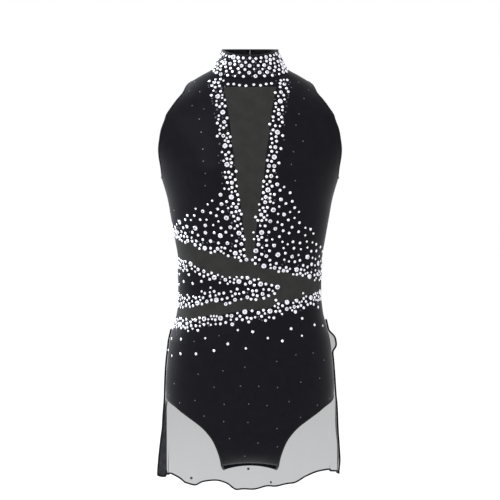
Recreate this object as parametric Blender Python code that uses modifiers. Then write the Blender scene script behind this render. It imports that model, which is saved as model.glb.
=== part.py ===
"""Sleeveless high-neck competition leotard with sheer inserts, a centre back zip and a sheer back skirt.

Metres, +Z up. The front faces -Y and the wearer's left is +X. The origin is the centre of the waist.
Run with: blender --background --python part.py
"""
import math

import bmesh
import bpy
import numpy as np

# Body sections, from crotch to neck: height, then half width or depth.
HALF_WIDTH = [(-0.34, 0.15), (-0.25, 0.15), (-0.2, 0.1505), (-0.186, 0.1514), (-0.141, 0.1484),
              (-0.098, 0.1436), (-0.07, 0.136), (-0.043, 0.13), (-0.012, 0.1275), (0.018, 0.128),
              (0.05, 0.129), (0.08, 0.1336), (0.12, 0.1405), (0.152, 0.146), (0.191, 0.157),
              (0.232, 0.171), (0.259, 0.183), (0.279, 0.188), (0.3, 0.185), (0.315, 0.17),
              (0.329, 0.152), (0.343, 0.129), (0.362, 0.103), (0.373, 0.0845), (0.384, 0.066), (0.392, 0.062)]
FRONT_DEPTH = [(-0.25, 0.093), (-0.2, 0.101), (-0.16, 0.104), (-0.12, 0.104), (-0.08, 0.1), (-0.04, 0.092),
               (0.0, 0.086), (0.045, 0.088), (0.08, 0.094), (0.11, 0.1), (0.14, 0.107), (0.17, 0.112),
               (0.205, 0.112), (0.232, 0.107), (0.259, 0.101), (0.29, 0.092), (0.325, 0.08),
               (0.352, 0.068), (0.366, 0.06), (0.392, 0.056)]
BACK_DEPTH = [(-0.25, 0.108), (-0.22, 0.116), (-0.18, 0.121), (-0.14, 0.12), (-0.1, 0.112), (-0.06, 0.1),
              (-0.02, 0.09), (0.01, 0.088), (0.05, 0.092), (0.1, 0.101), (0.14, 0.106), (0.17, 0.104)]
SECTION_POWER = 2.2
BUST = {"x": 0.072, "z": 0.205, "radius": 0.045, "rise": 0.008}
CROTCH_TOP_Z = -0.25
CROTCH_DROP = 0.086
GROIN_RISE = 0.01
GROIN_HALF_WIDTH = 0.05
GROIN_TOP_Z = -0.29
GROIN_HEIGHT = 0.046

# Centre back line: straight, so that the zip slides along it.
BACK_LINE_LOW_Z = 0.17
BACK_LINE_Z = 0.384
BACK_LINE_Y = 0.058
BACK_LINE_SLOPE = 0.215
ZIP_TILT = math.atan(BACK_LINE_SLOPE)

# Neck and collar.
NECK_SIDE_Z = 0.384
NECK_FRONT_DIP = 0.018
NECK_BACK_RISE = 0.002
COLLAR_TOP_HALF_WIDTH = 0.0494
COLLAR_TOP_FRONT_DEPTH = 0.052
COLLAR_TOP_Z = 0.4172
COLLAR_FRONT_DIP = 0.0119
COLLAR_BACK_RISE = 0.0013
DIP_POWER = 1.5
COLLAR_BACK_GAP = 0.03
LINING_BACK_GAP = 0.14

# Edges seen from the front: x, z. The wearer's right is -X.
BODICE_EDGE_RIGHT = [(-0.1075, 0.0836), (-0.0768, 0.0695), (-0.0484, 0.0645), (-0.0194, 0.0565),
                     (-0.0087, 0.0501)]
BODICE_EDGE_LEFT = [(0.0087, 0.0501), (0.0223, 0.0417), (0.0447, 0.0369), (0.0642, 0.0304),
                    (0.0859, 0.0274), (0.1051, 0.0198)]
WEDGE_TOP = [(-0.1101, 0.0412), (-0.0879, 0.0361), (-0.0672, 0.0269), (-0.0457, 0.0216), (-0.0214, 0.02),
             (0.0087, 0.0177), (0.0291, 0.0116), (0.0486, 0.0053)]
WEDGE_BOTTOM = [(-0.086, -0.0256), (-0.0633, -0.0191), (-0.0389, -0.0212), (-0.0155, -0.0132),
                (0.0155, -0.0121), (0.033, -0.0051), (0.0486, 0.0014)]
BRIEF_EDGE = [(-0.0959, -0.0533), (-0.0771, -0.0461), (-0.0535, -0.044), (-0.033, -0.0386),
              (-0.0049, -0.0345), (0.0233, -0.0327), (0.0555, -0.022), (0.0791, -0.0193), (0.1032, -0.0116)]
BODICE_SIDE_Z = {"left": 0.012, "right": 0.092}
BRIEF_SIDE_Z = {"left": -0.008, "right": -0.06}
WEDGE_SIDE_Z = (-0.034, 0.047)
STRIP_EDGE = [(0.0087, 0.0501), (0.0096, 0.0887), (0.0134, 0.126), (0.0172, 0.1553), (0.0229, 0.1861),
              (0.0267, 0.2241), (0.0316, 0.261), (0.0345, 0.2905), (0.0404, 0.3239), (0.0454, 0.352)]
NECK_BAND_LOW_Z = 0.352
NECK_BAND_HALF_WIDTH = 0.05
NECK_BAND_TOP_Z = 0.3675
HIP_SEAM_Z = -0.071
HIP_SEAM_SLANT = 0.009

# Openings: x, z of the front edge; the back edge is cut from the same kind of list.
UNDERARM_Z = 0.191
SHOULDER_Z = 0.362
ARMHOLE_FRONT = [(0.1556, 0.1935), (0.1558, 0.206), (0.159, 0.232), (0.157, 0.259), (0.153, 0.279),
                 (0.1456, 0.3), (0.137, 0.315), (0.127, 0.329), (0.116, 0.343)]
ARMHOLE_BACK_CUT = 1.12
LEG_TOP_Z = -0.2
GUSSET_SEAM_Z = -0.318
LEG_FRONT = [(0.134, -0.209), (0.1195, -0.218), (0.1018, -0.2288), (0.084, -0.2414), (0.0722, -0.2535),
             (0.0637, -0.2655), (0.0562, -0.284), (0.0515, -0.302), (0.0495, -0.318)]
LEG_BACK = [(0.139, -0.222), (0.113, -0.25), (0.083, -0.28), (0.062, -0.305), (0.053, -0.318)]
GUSSET_HALF_WIDTH = 0.0455

# Cloth.
SPANDEX = 0.001
MESH = 0.0006
SEAM_GAP = 0.0005
THIN_SPANDEX = 0.0008
COLLAR_LINING = 0.0007
COLLAR_LINING_DEPTH = 0.0017
LINING_DEPTH = 0.0016
LINING_INSET = 0.002
BINDING_RADIUS = 0.0013
BINDING_GAP = 0.0004
BINDING_SETBACK = 0.02
EDGE_GAP = 0.0006
TAPE_WIDTH = 0.009
TAPE_DEPTH = -0.0028
SIDE_TAPE_Z = (-0.185, 0.178)
SHOULDER_TAPE_Z = (0.366, 0.379)
HIP_TAPE_SHARE = (0.04, 0.96)

# Stones: bands that stand for the dense rows.
STONE_BAND_WIDTH = 0.011
STONE_EDGE_WIDTH = 0.0088
STONE_HEIGHT = 0.0022
STONE_LIFT = 0.0007
STONE_SIDE_GAP = 0.03
STRIP_STONE_TURN = 0.07
BODICE_STONE_RISE = 0.008
WEDGE_STONE_INSET = 0.0065
NECK_ROW_Z = 0.358
NECK_ROW_WIDTH = 0.008
COLLAR_STONE_REACH = 2.75
COLLAR_STONE_SHARE = (0.06, 0.95)
WEDGE_LIFT = 0.0019

# Skirt: height against half width and back depth.
SKIRT_HALF_WIDTH = [(-0.06, 0.1368), (-0.088, 0.1458), (-0.11, 0.1497), (-0.141, 0.1528), (-0.186, 0.156),
                    (-0.245, 0.157), (-0.315, 0.16), (-0.41, 0.166)]
SKIRT_DEPTH = [(-0.06, 0.1035), (-0.088, 0.1125), (-0.11, 0.12), (-0.141, 0.1268), (-0.186, 0.1305),
               (-0.245, 0.134), (-0.315, 0.139), (-0.41, 0.146)]
SKIRT_THICKNESS = 0.0006
SKIRT_SIDE_HEM_Z = -0.345
SKIRT_BACK_HEM_DROP = 0.068
SKIRT_EDGE_ANGLE = math.radians(92)
SKIRT_TOP_GAP = 0.003
SKIRT_FOLDS = 7
SKIRT_FOLD_DEPTH = 0.012
HEM_RADIUS = 0.0014
HEM_GAP = 0.0006

# Zip, in its own frame: x across, y out of the back, z up along the line from the collar's top edge.
ZIP_TOP_Y = 0.0505
ZIP_TOP_Z = 0.4185
ZIP_EDGE = 0.0055
ZIP_EDGE_Z = (0.166, 0.386)
BACK_SEAM_Z = (0.02, 0.14)
ZIP_LENGTH = 0.246
COIL_INNER = 0.0005
COIL_OUTER = 0.0021
COIL_LEVELS = (-0.0015, 0.0)
TAPE_LEVELS = (-0.0023, -0.0018)
TAPE_HALF_WIDTH = 0.008
SLIDER_HALF_WIDTH = 0.0042
SLIDER_LENGTH = 0.0095
SLIDER_Z = -0.0185
PIVOT = (0.0031, 0.0034)
PULL_LENGTH = 0.021
COIL_TOP = -0.0125
COIL_END_GAP = 0.0003
TAPE_END = 0.004
STOP_DROP = 0.001
TAPE_INNER = 0.0007
TAPE_TOP = -0.0092
STOP_HALF_WIDTH = 0.0028
STOP_HEIGHT = 0.0006
TOP_STOP_Z = (-0.0122, -0.0098)
BOTTOM_STOP_LENGTH = 0.0037
TOP_PLATE = (0.0003, 0.0013)
UNDER_PLATE = (-0.0036, -0.0026)
FLANGE_INNER = 0.0025
FLANGE_LEVELS = (-0.0014, 0.0008)
LUG_X = (0.0017, 0.0027)
LUG_REACH = 0.0009
POST_HALF_WIDTH = 0.0002
POST_LEVELS = (-0.003, 0.0008)
PIVOT_BAR = (0.00045, 0.004)
PULL_HALF_SIZE = (0.0013, 0.0004)
PULL_EYE = (0.0013, 0.0026)
PULL_BORE = (0.0008, 0.006)
GRIP_HALF_SIZE = (0.0022, 0.00055)
GRIP_TOP = -0.0085
GRIP_DROP = 0.001
HOOK_LEVELS = (-0.0027, -0.0019)
HOOK_Z = (-0.0072, -0.0042)
HOOK_X = (-0.0095, 0.0008)
EYE_X = (0.0012, 0.0095)


def smooth(x, table):
    """Monotone cubic through a table of (x, y) points, level beyond its ends."""
    xs, ys = np.array(sorted(table)).T
    step = np.diff(xs)
    slope = np.diff(ys) / step
    tangent = np.concatenate([slope[:1], np.zeros(len(xs) - 2), slope[-1:]])
    same = slope[:-1] * slope[1:] > 0
    weights = (2 * step[1:] + step[:-1], step[1:] + 2 * step[:-1])
    mean = (weights[0] + weights[1]) / (weights[0] / np.where(same, slope[:-1], 1)
                                        + weights[1] / np.where(same, slope[1:], 1))
    tangent[1:-1] = np.where(same, mean, 0)
    x = np.asarray(x, float)
    i = np.clip(np.searchsorted(xs, x) - 1, 0, len(step) - 1)
    s = np.clip((x - xs[i]) / step[i], 0, 1)
    return ((1 + 2 * s) * (1 - s) ** 2 * ys[i] + s * (1 - s) ** 2 * step[i] * tangent[i]
            + s * s * (3 - 2 * s) * ys[i + 1] - s * s * (1 - s) * step[i] * tangent[i + 1])


def through(points):
    """Smooth route through (angle, z) points, as a function of 0..1 along it."""
    points = np.array(points, float)
    chord = np.hypot(np.diff(points[:, 0]) * 0.14, np.diff(points[:, 1]))
    along = np.concatenate([[0], np.cumsum(chord)]) / chord.sum()
    return lambda v: np.stack([smooth(v, list(zip(along, points[:, k]))) for k in (0, 1)], -1)


def rounded(value):
    """Sine or cosine bent towards a squarer section."""
    return np.sign(value) * np.abs(value) ** (2 / SECTION_POWER)


def body(angle, z):
    """Point of the garment's outer surface. Angle 0 is the front, a quarter turn is the wearer's left."""
    angle, z = np.broadcast_arrays(np.asarray(angle, float), np.asarray(z, float))
    fall = np.clip((CROTCH_TOP_Z - z) / CROTCH_DROP, 0, 1)
    bottom = np.sqrt(1 - fall ** 2)
    front = smooth(z, FRONT_DEPTH)
    line = BACK_LINE_Y + (BACK_LINE_Z - z) * BACK_LINE_SLOPE
    back = np.where(z > BACK_LINE_LOW_Z, line, smooth(z, BACK_DEPTH))
    x = smooth(z, HALF_WIDTH) * rounded(np.sin(angle))
    facing = np.cos(angle)
    y = -np.where(facing > 0, front, back) * bottom * rounded(facing)
    far = ((np.abs(x) - BUST["x"]) ** 2 + (z - BUST["z"]) ** 2) / BUST["radius"] ** 2
    y = y - BUST["rise"] * np.exp(-far) * np.clip(facing * 2, 0, 1)
    rise = np.clip((GROIN_TOP_Z - z) / GROIN_HEIGHT, 0, 1) * np.clip(1 - (x / GROIN_HALF_WIDTH) ** 2, 0, 1)
    return np.stack([x, y, z + GROIN_RISE * rise], -1)


def angle_at(x, z):
    """Angle at which the front of the section at z reaches x."""
    share = np.clip(np.abs(x) / smooth(z, HALF_WIDTH), 0, 1) ** (SECTION_POWER / 2)
    return np.sign(x) * np.arcsin(share)


def flat(points):
    """(x, z) points of the front as (angle, z)."""
    return [(float(angle_at(x, z)), z) for x, z in points]


def neck_z(angle):
    facing = np.cos(angle)
    front, back = np.clip(facing, 0, 1), np.clip(-facing, 0, 1)
    return NECK_SIDE_Z - NECK_FRONT_DIP * front ** DIP_POWER + NECK_BACK_RISE * back


def collar(angle, v):
    """Point of the collar, v from its seam to its top edge."""
    facing = np.cos(angle)
    low = body(angle, neck_z(angle))
    front_part, back_part = np.clip(facing, 0, 1), np.clip(-facing, 0, 1)
    top_z = COLLAR_TOP_Z - COLLAR_FRONT_DIP * front_part ** DIP_POWER + COLLAR_BACK_RISE * back_part
    back = BACK_LINE_Y + (BACK_LINE_Z - top_z) * BACK_LINE_SLOPE
    top = np.stack([COLLAR_TOP_HALF_WIDTH * rounded(np.sin(angle)),
                    -np.where(facing > 0, COLLAR_TOP_FRONT_DEPTH, back) * rounded(facing), top_z], -1)
    return low + (top - low) * np.asarray(v)[..., None]


def hip_z(angle):
    return HIP_SEAM_Z + HIP_SEAM_SLANT * np.sin(angle)


def skirt(angle, v):
    """Point of the skirt, v from the hip seam to the hem."""
    top = hip_z(angle) - SKIRT_TOP_GAP
    hem = SKIRT_SIDE_HEM_Z - SKIRT_BACK_HEM_DROP * np.clip(-np.cos(angle), 0, 1) ** 1.2
    z = top + (hem - top) * v
    fold = SKIRT_FOLD_DEPTH * v ** 1.3 * (0.5 - 0.5 * np.cos(SKIRT_FOLDS * 2 * (angle - SKIRT_EDGE_ANGLE)))
    x = (smooth(z, SKIRT_HALF_WIDTH) + fold * 0.6) * rounded(np.sin(angle))
    y = -(smooth(z, SKIRT_DEPTH) + fold) * rounded(np.cos(angle))
    return np.stack([x, y, z], -1)


def patch(bottom, top, left, right, columns, rows):
    """(angle, z) grid between four routes, as a Coons patch. u grows with the angle, v upwards."""
    u = np.linspace(0, 1, columns + 1)
    v = np.linspace(0, 1, rows + 1)
    low, high, start, end = bottom(u)[None], top(u)[None], left(v)[:, None], right(v)[:, None]
    u, v = u[None, :, None], v[:, None, None]
    corners = ((1 - u) * (1 - v) * low[:, :1] + u * (1 - v) * low[:, -1:]
               + (1 - u) * v * high[:, :1] + u * v * high[:, -1:])
    return (1 - v) * low + v * high + (1 - u) * start + u * end - corners


def normals(grid):
    along = np.gradient(grid, axis=1)
    across = np.gradient(grid, axis=0)
    out = np.cross(along, across)
    return out / np.linalg.norm(out, axis=-1, keepdims=True)


def retreat(grid, gap):
    """Draw the four edges in by the seam gap."""
    grid = grid.copy()
    for edge, inner in (((0, slice(None)), (1, slice(None))), ((-1, slice(None)), (-2, slice(None))),
                        ((slice(None), 0), (slice(None), 1)), ((slice(None), -1), (slice(None), -2))):
        step = grid[inner] - grid[edge]
        grid[edge] += step / np.linalg.norm(step, axis=-1, keepdims=True) * gap
    return grid


def collection(name):
    found = bpy.data.collections.get(name) or bpy.data.collections.new(name)
    if name not in bpy.context.scene.collection.children:
        bpy.context.scene.collection.children.link(found)
    return found


def material(name, colour, roughness, metallic=0.0, alpha=1.0):
    made = bpy.data.materials.new(name)
    made.use_nodes = True
    shader = made.node_tree.nodes["Principled BSDF"]
    shader.inputs["Base Color"].default_value = (*colour, 1)
    shader.inputs["Roughness"].default_value = roughness
    shader.inputs["Metallic"].default_value = metallic
    shader.inputs["Alpha"].default_value = alpha
    return made


def add(name, mesh_or_curve, look, parent=None):
    made = bpy.data.objects.new(name, mesh_or_curve)
    made.data.materials.append(look)
    collection("leotard").objects.link(made)
    made.parent = parent
    return made


def sheet(name, grid, thickness, look, lift=0.0, gap=SEAM_GAP):
    """Shell of cloth on a grid of surface points; the outer face lies lift outside them."""
    grid = retreat(grid + normals(grid) * lift, gap)
    rows, columns = grid.shape[0] - 1, grid.shape[1] - 1
    bm = bmesh.new()
    bmesh.ops.create_grid(bm, x_segments=columns, y_segments=rows, size=0.5)
    for vertex in bm.verts:
        column = round((vertex.co.x + 0.5) * columns)
        row = round((vertex.co.y + 0.5) * rows)
        vertex.co = grid[row, column]
    mesh = bpy.data.meshes.new(name)
    bm.to_mesh(mesh)
    bm.free()
    made = add(name, mesh, look)
    solid = made.modifiers.new("thickness", "SOLIDIFY")
    solid.thickness = thickness
    solid.offset = -1
    return made


def tube(name, points, radius, look, closed, sides=1):
    """Round elastic or rolled edge along a list of points."""
    curve = bpy.data.curves.new(name, "CURVE")
    curve.dimensions = "3D"
    curve.bevel_depth = radius
    curve.bevel_resolution = sides
    curve.use_fill_caps = not closed
    line = curve.splines.new("POLY")
    line.points.add(len(points) - 1)
    for knot, point in zip(line.points, points):
        knot.co = (*point, 1)
    line.use_cyclic_u = closed
    return add(name, curve, look)


def beside(grid_line, inner_line, distance):
    """Line parallel to a panel's edge, outside it by distance."""
    step = grid_line - inner_line
    return grid_line + step / np.linalg.norm(step, axis=-1, keepdims=True) * distance


def ribbon_grid(route, width, columns, along_v=False):
    """(angle, z) grid of a narrow band that follows a route over the body."""
    v = np.linspace(0, 1, columns + 1)
    middle = route(v)
    points = body(middle[:, 0], middle[:, 1])
    along = np.gradient(points, axis=0)
    turn = np.gradient(middle, axis=0)
    scale = np.linalg.norm(along, axis=-1)
    side = np.stack([-turn[:, 1] / 0.14, turn[:, 0] * 0.14], -1) / scale[:, None]
    low, high = middle - side * width / 2, middle + side * width / 2
    grid = np.stack([low, high])
    return np.swapaxes(grid, 0, 1)[:, ::-1] if along_v else grid


def on_body(grid):
    return body(grid[..., 0], grid[..., 1])


def straight(a, b):
    """Route between two (angle, z) points."""
    a, b = np.array(a, float), np.array(b, float)
    return lambda v: a + (b - a) * np.asarray(v)[..., None]


def chain(parts):
    """Join (share, route) pieces into one route whose corners fall on exact shares."""
    shares = np.cumsum([0] + [share for share, _ in parts]) / sum(share for share, _ in parts)

    def route(v):
        v = np.asarray(v, float)
        i = np.clip(np.searchsorted(shares, v + 1e-9) - 1, 0, len(parts) - 1)
        points = np.zeros(v.shape + (2,))
        for k, (_, part) in enumerate(parts):
            here = i == k
            inside = (v[here] - shares[k]) / (shares[k + 1] - shares[k])
            points[here] = part(np.clip(inside, 0, 1))
        return points

    return route


def mirrored(route):
    """The same route on the wearer's other side."""
    return lambda v: route(v) * np.array([-1, 1])


SIDE = math.pi / 2
SIDE_ROWS, ARM_ROWS, SHOULDER_ROWS = 6, 10, 2
STRIP_ROWS = SIDE_ROWS + ARM_ROWS
COLLAR_COLUMNS = 36
BODICE_COLUMNS = 9


def bodice_outer(side_z, armhole):
    """Side seam, armhole and shoulder seam of one half, on +X."""
    return chain([(SIDE_ROWS, straight((SIDE, side_z), (SIDE, UNDERARM_Z))),
                  (ARM_ROWS, through([(SIDE, UNDERARM_Z), *armhole, (SIDE, SHOULDER_Z)])),
                  (SHOULDER_ROWS, straight((SIDE, SHOULDER_Z), (SIDE, NECK_SIDE_Z)))])


def back_armhole():
    return [(SIDE + (SIDE - angle) * ARMHOLE_BACK_CUT, z) for angle, z in flat(ARMHOLE_FRONT)]


def strip_route():
    """Edge of the centre strip on +X, from its tip to the neck seam."""
    neck = float(angle_at(NECK_BAND_HALF_WIDTH, NECK_BAND_TOP_Z))
    return chain([(STRIP_ROWS, through(flat(STRIP_EDGE))),
                  (SHOULDER_ROWS, straight(flat(STRIP_EDGE)[-1], (neck, float(neck_z(neck)))))])


def bodice_bottom(side):
    """Wave along the bottom of one front panel, on +X, from the strip's tip to the side seam."""
    edge = BODICE_EDGE_LEFT if side == "left" else [(-x, z) for x, z in reversed(BODICE_EDGE_RIGHT)]
    return through([*flat(edge), (SIDE, BODICE_SIDE_Z[side])])


def front_bodice(side, look):
    """One front spandex panel, from the waist wave to the shoulder."""
    inner = strip_route()
    outer = bodice_outer(BODICE_SIDE_Z[side], flat(ARMHOLE_FRONT))
    start = inner(np.array(1.0))[0]
    top = lambda u: np.stack([start + (SIDE - start) * u, neck_z(start + (SIDE - start) * u)], -1)
    grid = patch(bodice_bottom(side), top, inner, outer, BODICE_COLUMNS, SIDE_ROWS + ARM_ROWS + SHOULDER_ROWS)
    return sheet(f"front_bodice_{side}", to_side(on_body(grid), side), SPANDEX, look)


def to_side(points, side):
    """Surface points made for +X, mirrored when the side is the wearer's right."""
    if side == "left":
        return points
    return points[:, ::-1] * np.array([-1, 1, 1])


def back_edge_route():
    """Edge of the back half along the zip and the seam below it, on +X, from the hip seam up."""
    closed = float(math.pi - angle_at(SEAM_GAP, 0.0))
    low = [(closed, float(hip_z(math.pi))), (closed, BACK_SEAM_Z[0]), (closed, BACK_SEAM_Z[1])]
    heights = np.linspace(*ZIP_EDGE_Z, 7)
    high = [(math.pi - float(angle_at(ZIP_EDGE, z)), z) for z in heights]
    return chain([(8, through([*low, high[0]])), (10, through(high))])


def back_bodice(side, look):
    """One back spandex panel, from the hip seam to the neck, along the zip."""
    angle_sign = 1 if side == "left" else -1
    outer = bodice_outer(float(hip_z(SIDE * angle_sign)), back_armhole())
    inner = back_edge_route()
    end_low, end_high = inner(np.array(0.0)), inner(np.array(1.0))
    turn = lambda u: SIDE + (end_low[0] - SIDE) * u
    hem = lambda u: np.stack([turn(u), hip_z(angle_sign * turn(u))], -1)
    neck = lambda u: np.stack([SIDE + (end_high[0] - SIDE) * u, neck_z(SIDE + (end_high[0] - SIDE) * u)], -1)
    grid = patch(hem, neck, outer, inner, BODICE_COLUMNS, SIDE_ROWS + ARM_ROWS + SHOULDER_ROWS)
    return sheet(f"back_bodice_{side}", to_side(on_body(grid), side), SPANDEX, look)


def between(low, high, columns, rows):
    """Patch between two routes with straight sides."""
    start, end = np.array(0.0), np.array(1.0)
    return patch(low, high, straight(low(start), high(start)), straight(low(end), high(end)), columns, rows)


def front_panels(spandex, net):
    """Neck band, sheer strip, sheer waist band, the tongue over it and the front of the brief."""
    for side in ("left", "right"):
        front_bodice(side, spandex)
        back_bodice(side, spandex)
    edge = strip_route()
    angle = edge(np.array(1.0))[0]
    corner = flat(STRIP_EDGE)[-1][0]
    low = straight((-corner, NECK_BAND_LOW_Z), (corner, NECK_BAND_LOW_Z))
    seam = lambda u: np.stack([angle * (2 * u - 1), neck_z(angle * (2 * u - 1))], -1)
    band_side = straight(low(np.array(1.0)), seam(np.array(1.0)))
    band = patch(low, seam, mirrored(band_side), band_side, 8, 2)
    sheet("front_neck_band", on_body(band), SPANDEX, spandex)
    side = through(flat(STRIP_EDGE))
    tip, tip_z = flat(STRIP_EDGE)[0]
    foot = straight((-tip, tip_z), (tip, tip_z))
    sheet("mesh_centre_strip", on_body(patch(foot, low, mirrored(side), side, 4, STRIP_ROWS)), MESH, net)
    wave = mirrored(bodice_bottom("right"))
    upper = chain([(BODICE_COLUMNS, lambda u: wave(1 - u)), (2, foot),
                   (BODICE_COLUMNS, bodice_bottom("left"))])
    waist = through([(-SIDE, BRIEF_SIDE_Z["right"]), *flat(BRIEF_EDGE), (SIDE, BRIEF_SIDE_Z["left"])])
    sheet("mesh_waist_band", on_body(between(waist, upper, 2 * BODICE_COLUMNS + 2, 5)), MESH, net)
    over = through([(-SIDE, WEDGE_SIDE_Z[1]), *flat(WEDGE_TOP)])
    under = through([(-SIDE, WEDGE_SIDE_Z[0]), *flat(WEDGE_BOTTOM)])
    sheet("waist_wedge", on_body(between(under, over, 18, 3)), THIN_SPANDEX, spandex, lift=WEDGE_LIFT)
    brief("front_brief", waist, BRIEF_SIDE_Z, LEG_FRONT, 0, spandex)
    hip = lambda u: np.stack([SIDE + math.pi * u, hip_z(SIDE + math.pi * u)], -1)
    sides = {"left": float(hip_z(SIDE)), "right": float(hip_z(-SIDE))}
    brief("back_brief", hip, sides, LEG_BACK, math.pi, spandex)


LEG_ROWS, HIP_ROWS = 11, 5
BRIEF_COLUMNS = 20


def leg_edge(points):
    """Leg opening of one half on +X, from the gusset seam up to the side seam."""
    return through([*reversed(flat(points)), (SIDE, LEG_TOP_Z)])


def brief(name, top, side_z, leg, turn, look):
    """Front (turn 0) or back (turn pi) of the brief."""
    def outline(side):
        hip = straight((SIDE, LEG_TOP_Z), (SIDE, side_z[side]))
        full = chain([(LEG_ROWS, leg_edge(leg)), (HIP_ROWS, hip)])
        sign = 1 if side == "left" else -1
        if turn:
            return lambda v: np.stack([turn - sign * full(v)[..., 0], full(v)[..., 1]], -1)
        return lambda v: np.stack([sign * full(v)[..., 0], full(v)[..., 1]], -1)

    start, end = (outline("left"), outline("right")) if turn else (outline("right"), outline("left"))
    foot = straight(start(np.array(0.0)), end(np.array(0.0)))
    grid = patch(foot, top, start, end, BRIEF_COLUMNS, LEG_ROWS + HIP_ROWS)
    return sheet(name, on_body(grid), SPANDEX, look)


def gusset_grid(columns=6, rows=8):
    """Under the crotch, from the front seam to the back seam."""
    reach = math.acos((CROTCH_TOP_Z - GUSSET_SEAM_Z) / CROTCH_DROP)
    turn = np.linspace(-reach, reach, rows + 1)[:, None]
    z = CROTCH_TOP_Z - CROTCH_DROP * np.cos(turn)
    edge = np.where(turn < 0, LEG_FRONT[-1][0], LEG_BACK[-1][0])
    width = GUSSET_HALF_WIDTH + (edge - GUSSET_HALF_WIDTH) * (turn / reach) ** 2
    x = width * np.linspace(-1, 1, columns + 1)[None, :]
    z = np.broadcast_to(z, x.shape)
    front = angle_at(x, z)
    angle = np.where(turn < 0, front, math.pi - front)
    return body(angle, z)[::-1]


def brief_bottom(spandex, lining):
    grid = gusset_grid()
    sheet("crotch_gusset", grid, SPANDEX, spandex)
    sheet("gusset_lining", grid, THIN_SPANDEX, lining, lift=-LINING_DEPTH, gap=LINING_INSET)


def collar_parts(spandex, lining, elastic):
    """Outer band, lining and the folded binding along the top."""
    back = math.pi - float(angle_at(ZIP_EDGE, NECK_SIDE_Z))
    for name, opening, lift, thickness, look in (
            ("collar_outer", back - COLLAR_BACK_GAP, 0.0, SPANDEX, spandex),
            ("collar_lining", back - LINING_BACK_GAP, -COLLAR_LINING_DEPTH, COLLAR_LINING, lining)):
        angles = np.linspace(-opening, opening, COLLAR_COLUMNS + 1)[None, :]
        v = np.linspace(0, 1, 4)[:, None]
        sheet(name, collar(*np.broadcast_arrays(angles, v)), thickness, look, lift=lift)
    reach = back - COLLAR_BACK_GAP - BINDING_SETBACK
    angles = np.linspace(-reach, reach, COLLAR_COLUMNS + 1)
    rim = collar(angles, np.ones_like(angles))
    rim[:, 2] += BINDING_RADIUS + BINDING_GAP
    tube("collar_top_binding", rim, BINDING_RADIUS, elastic, closed=False)


def arm_and_leg_edges(elastic):
    """Closed elastic edges around both armholes and both leg openings."""
    v = np.linspace(0, 1, ARM_ROWS + 1)
    front = through([(SIDE, UNDERARM_Z), *flat(ARMHOLE_FRONT), (SIDE, SHOULDER_Z)])(v)
    back = through([(SIDE, UNDERARM_Z), *back_armhole(), (SIDE, SHOULDER_Z)])(v)
    loop = on_body(np.concatenate([front, back[-2:0:-1]]))
    leg_v = np.linspace(0, 1, LEG_ROWS + 1)
    rise = on_body(leg_edge(LEG_FRONT)(leg_v))
    fall = leg_edge(LEG_BACK)(leg_v)
    fall[:, 0] = math.pi - fall[:, 0]
    under = gusset_grid()[::-1][1:-1, -1]
    leg = np.concatenate([rise, on_body(fall)[-2::-1], under[::-1]])
    for name, points in (("armhole_binding", loop), ("leg_elastic", leg)):
        middle = points.mean(0)
        around = np.roll(points, -1, 0) - np.roll(points, 1, 0)
        out = np.cross(around, points - middle)
        inward = np.cross(out, around)
        inward /= np.linalg.norm(inward, axis=-1, keepdims=True)
        inward *= np.sign(np.sum(inward * (middle - points), -1, keepdims=True))
        line = points + inward * (BINDING_RADIUS + EDGE_GAP)
        tube(f"{name}_left", line, BINDING_RADIUS, elastic, closed=True)
        tube(f"{name}_right", line * np.array([-1, 1, 1]), BINDING_RADIUS, elastic, closed=True)


def inner_tapes(elastic):
    """Stay tapes inside the side, shoulder and hip seams."""
    routes = {"side_seam_tape_left": (SIDE_TAPE_Z, 20), "shoulder_seam_tape_left": (SHOULDER_TAPE_Z, 3)}
    for name, (heights, columns) in routes.items():
        route = straight((SIDE, heights[0]), (SIDE, heights[1]))
        grid = on_body(ribbon_grid(route, TAPE_WIDTH, columns, along_v=True))
        sheet(name, grid, MESH, elastic, lift=TAPE_DEPTH, gap=0)
        sheet(name.replace("left", "right"), to_side(grid, "right"), MESH, elastic, lift=TAPE_DEPTH, gap=0)
    angles = SIDE + math.pi * np.linspace(*HIP_TAPE_SHARE, 33)
    rows = np.array([-0.5, 0.5])[:, None] * TAPE_WIDTH
    grid = body(*np.broadcast_arrays(angles[None, :], hip_z(angles)[None, :] + rows))
    sheet("hip_seam_tape", grid, MESH, elastic, lift=TAPE_DEPTH, gap=0)


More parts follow.
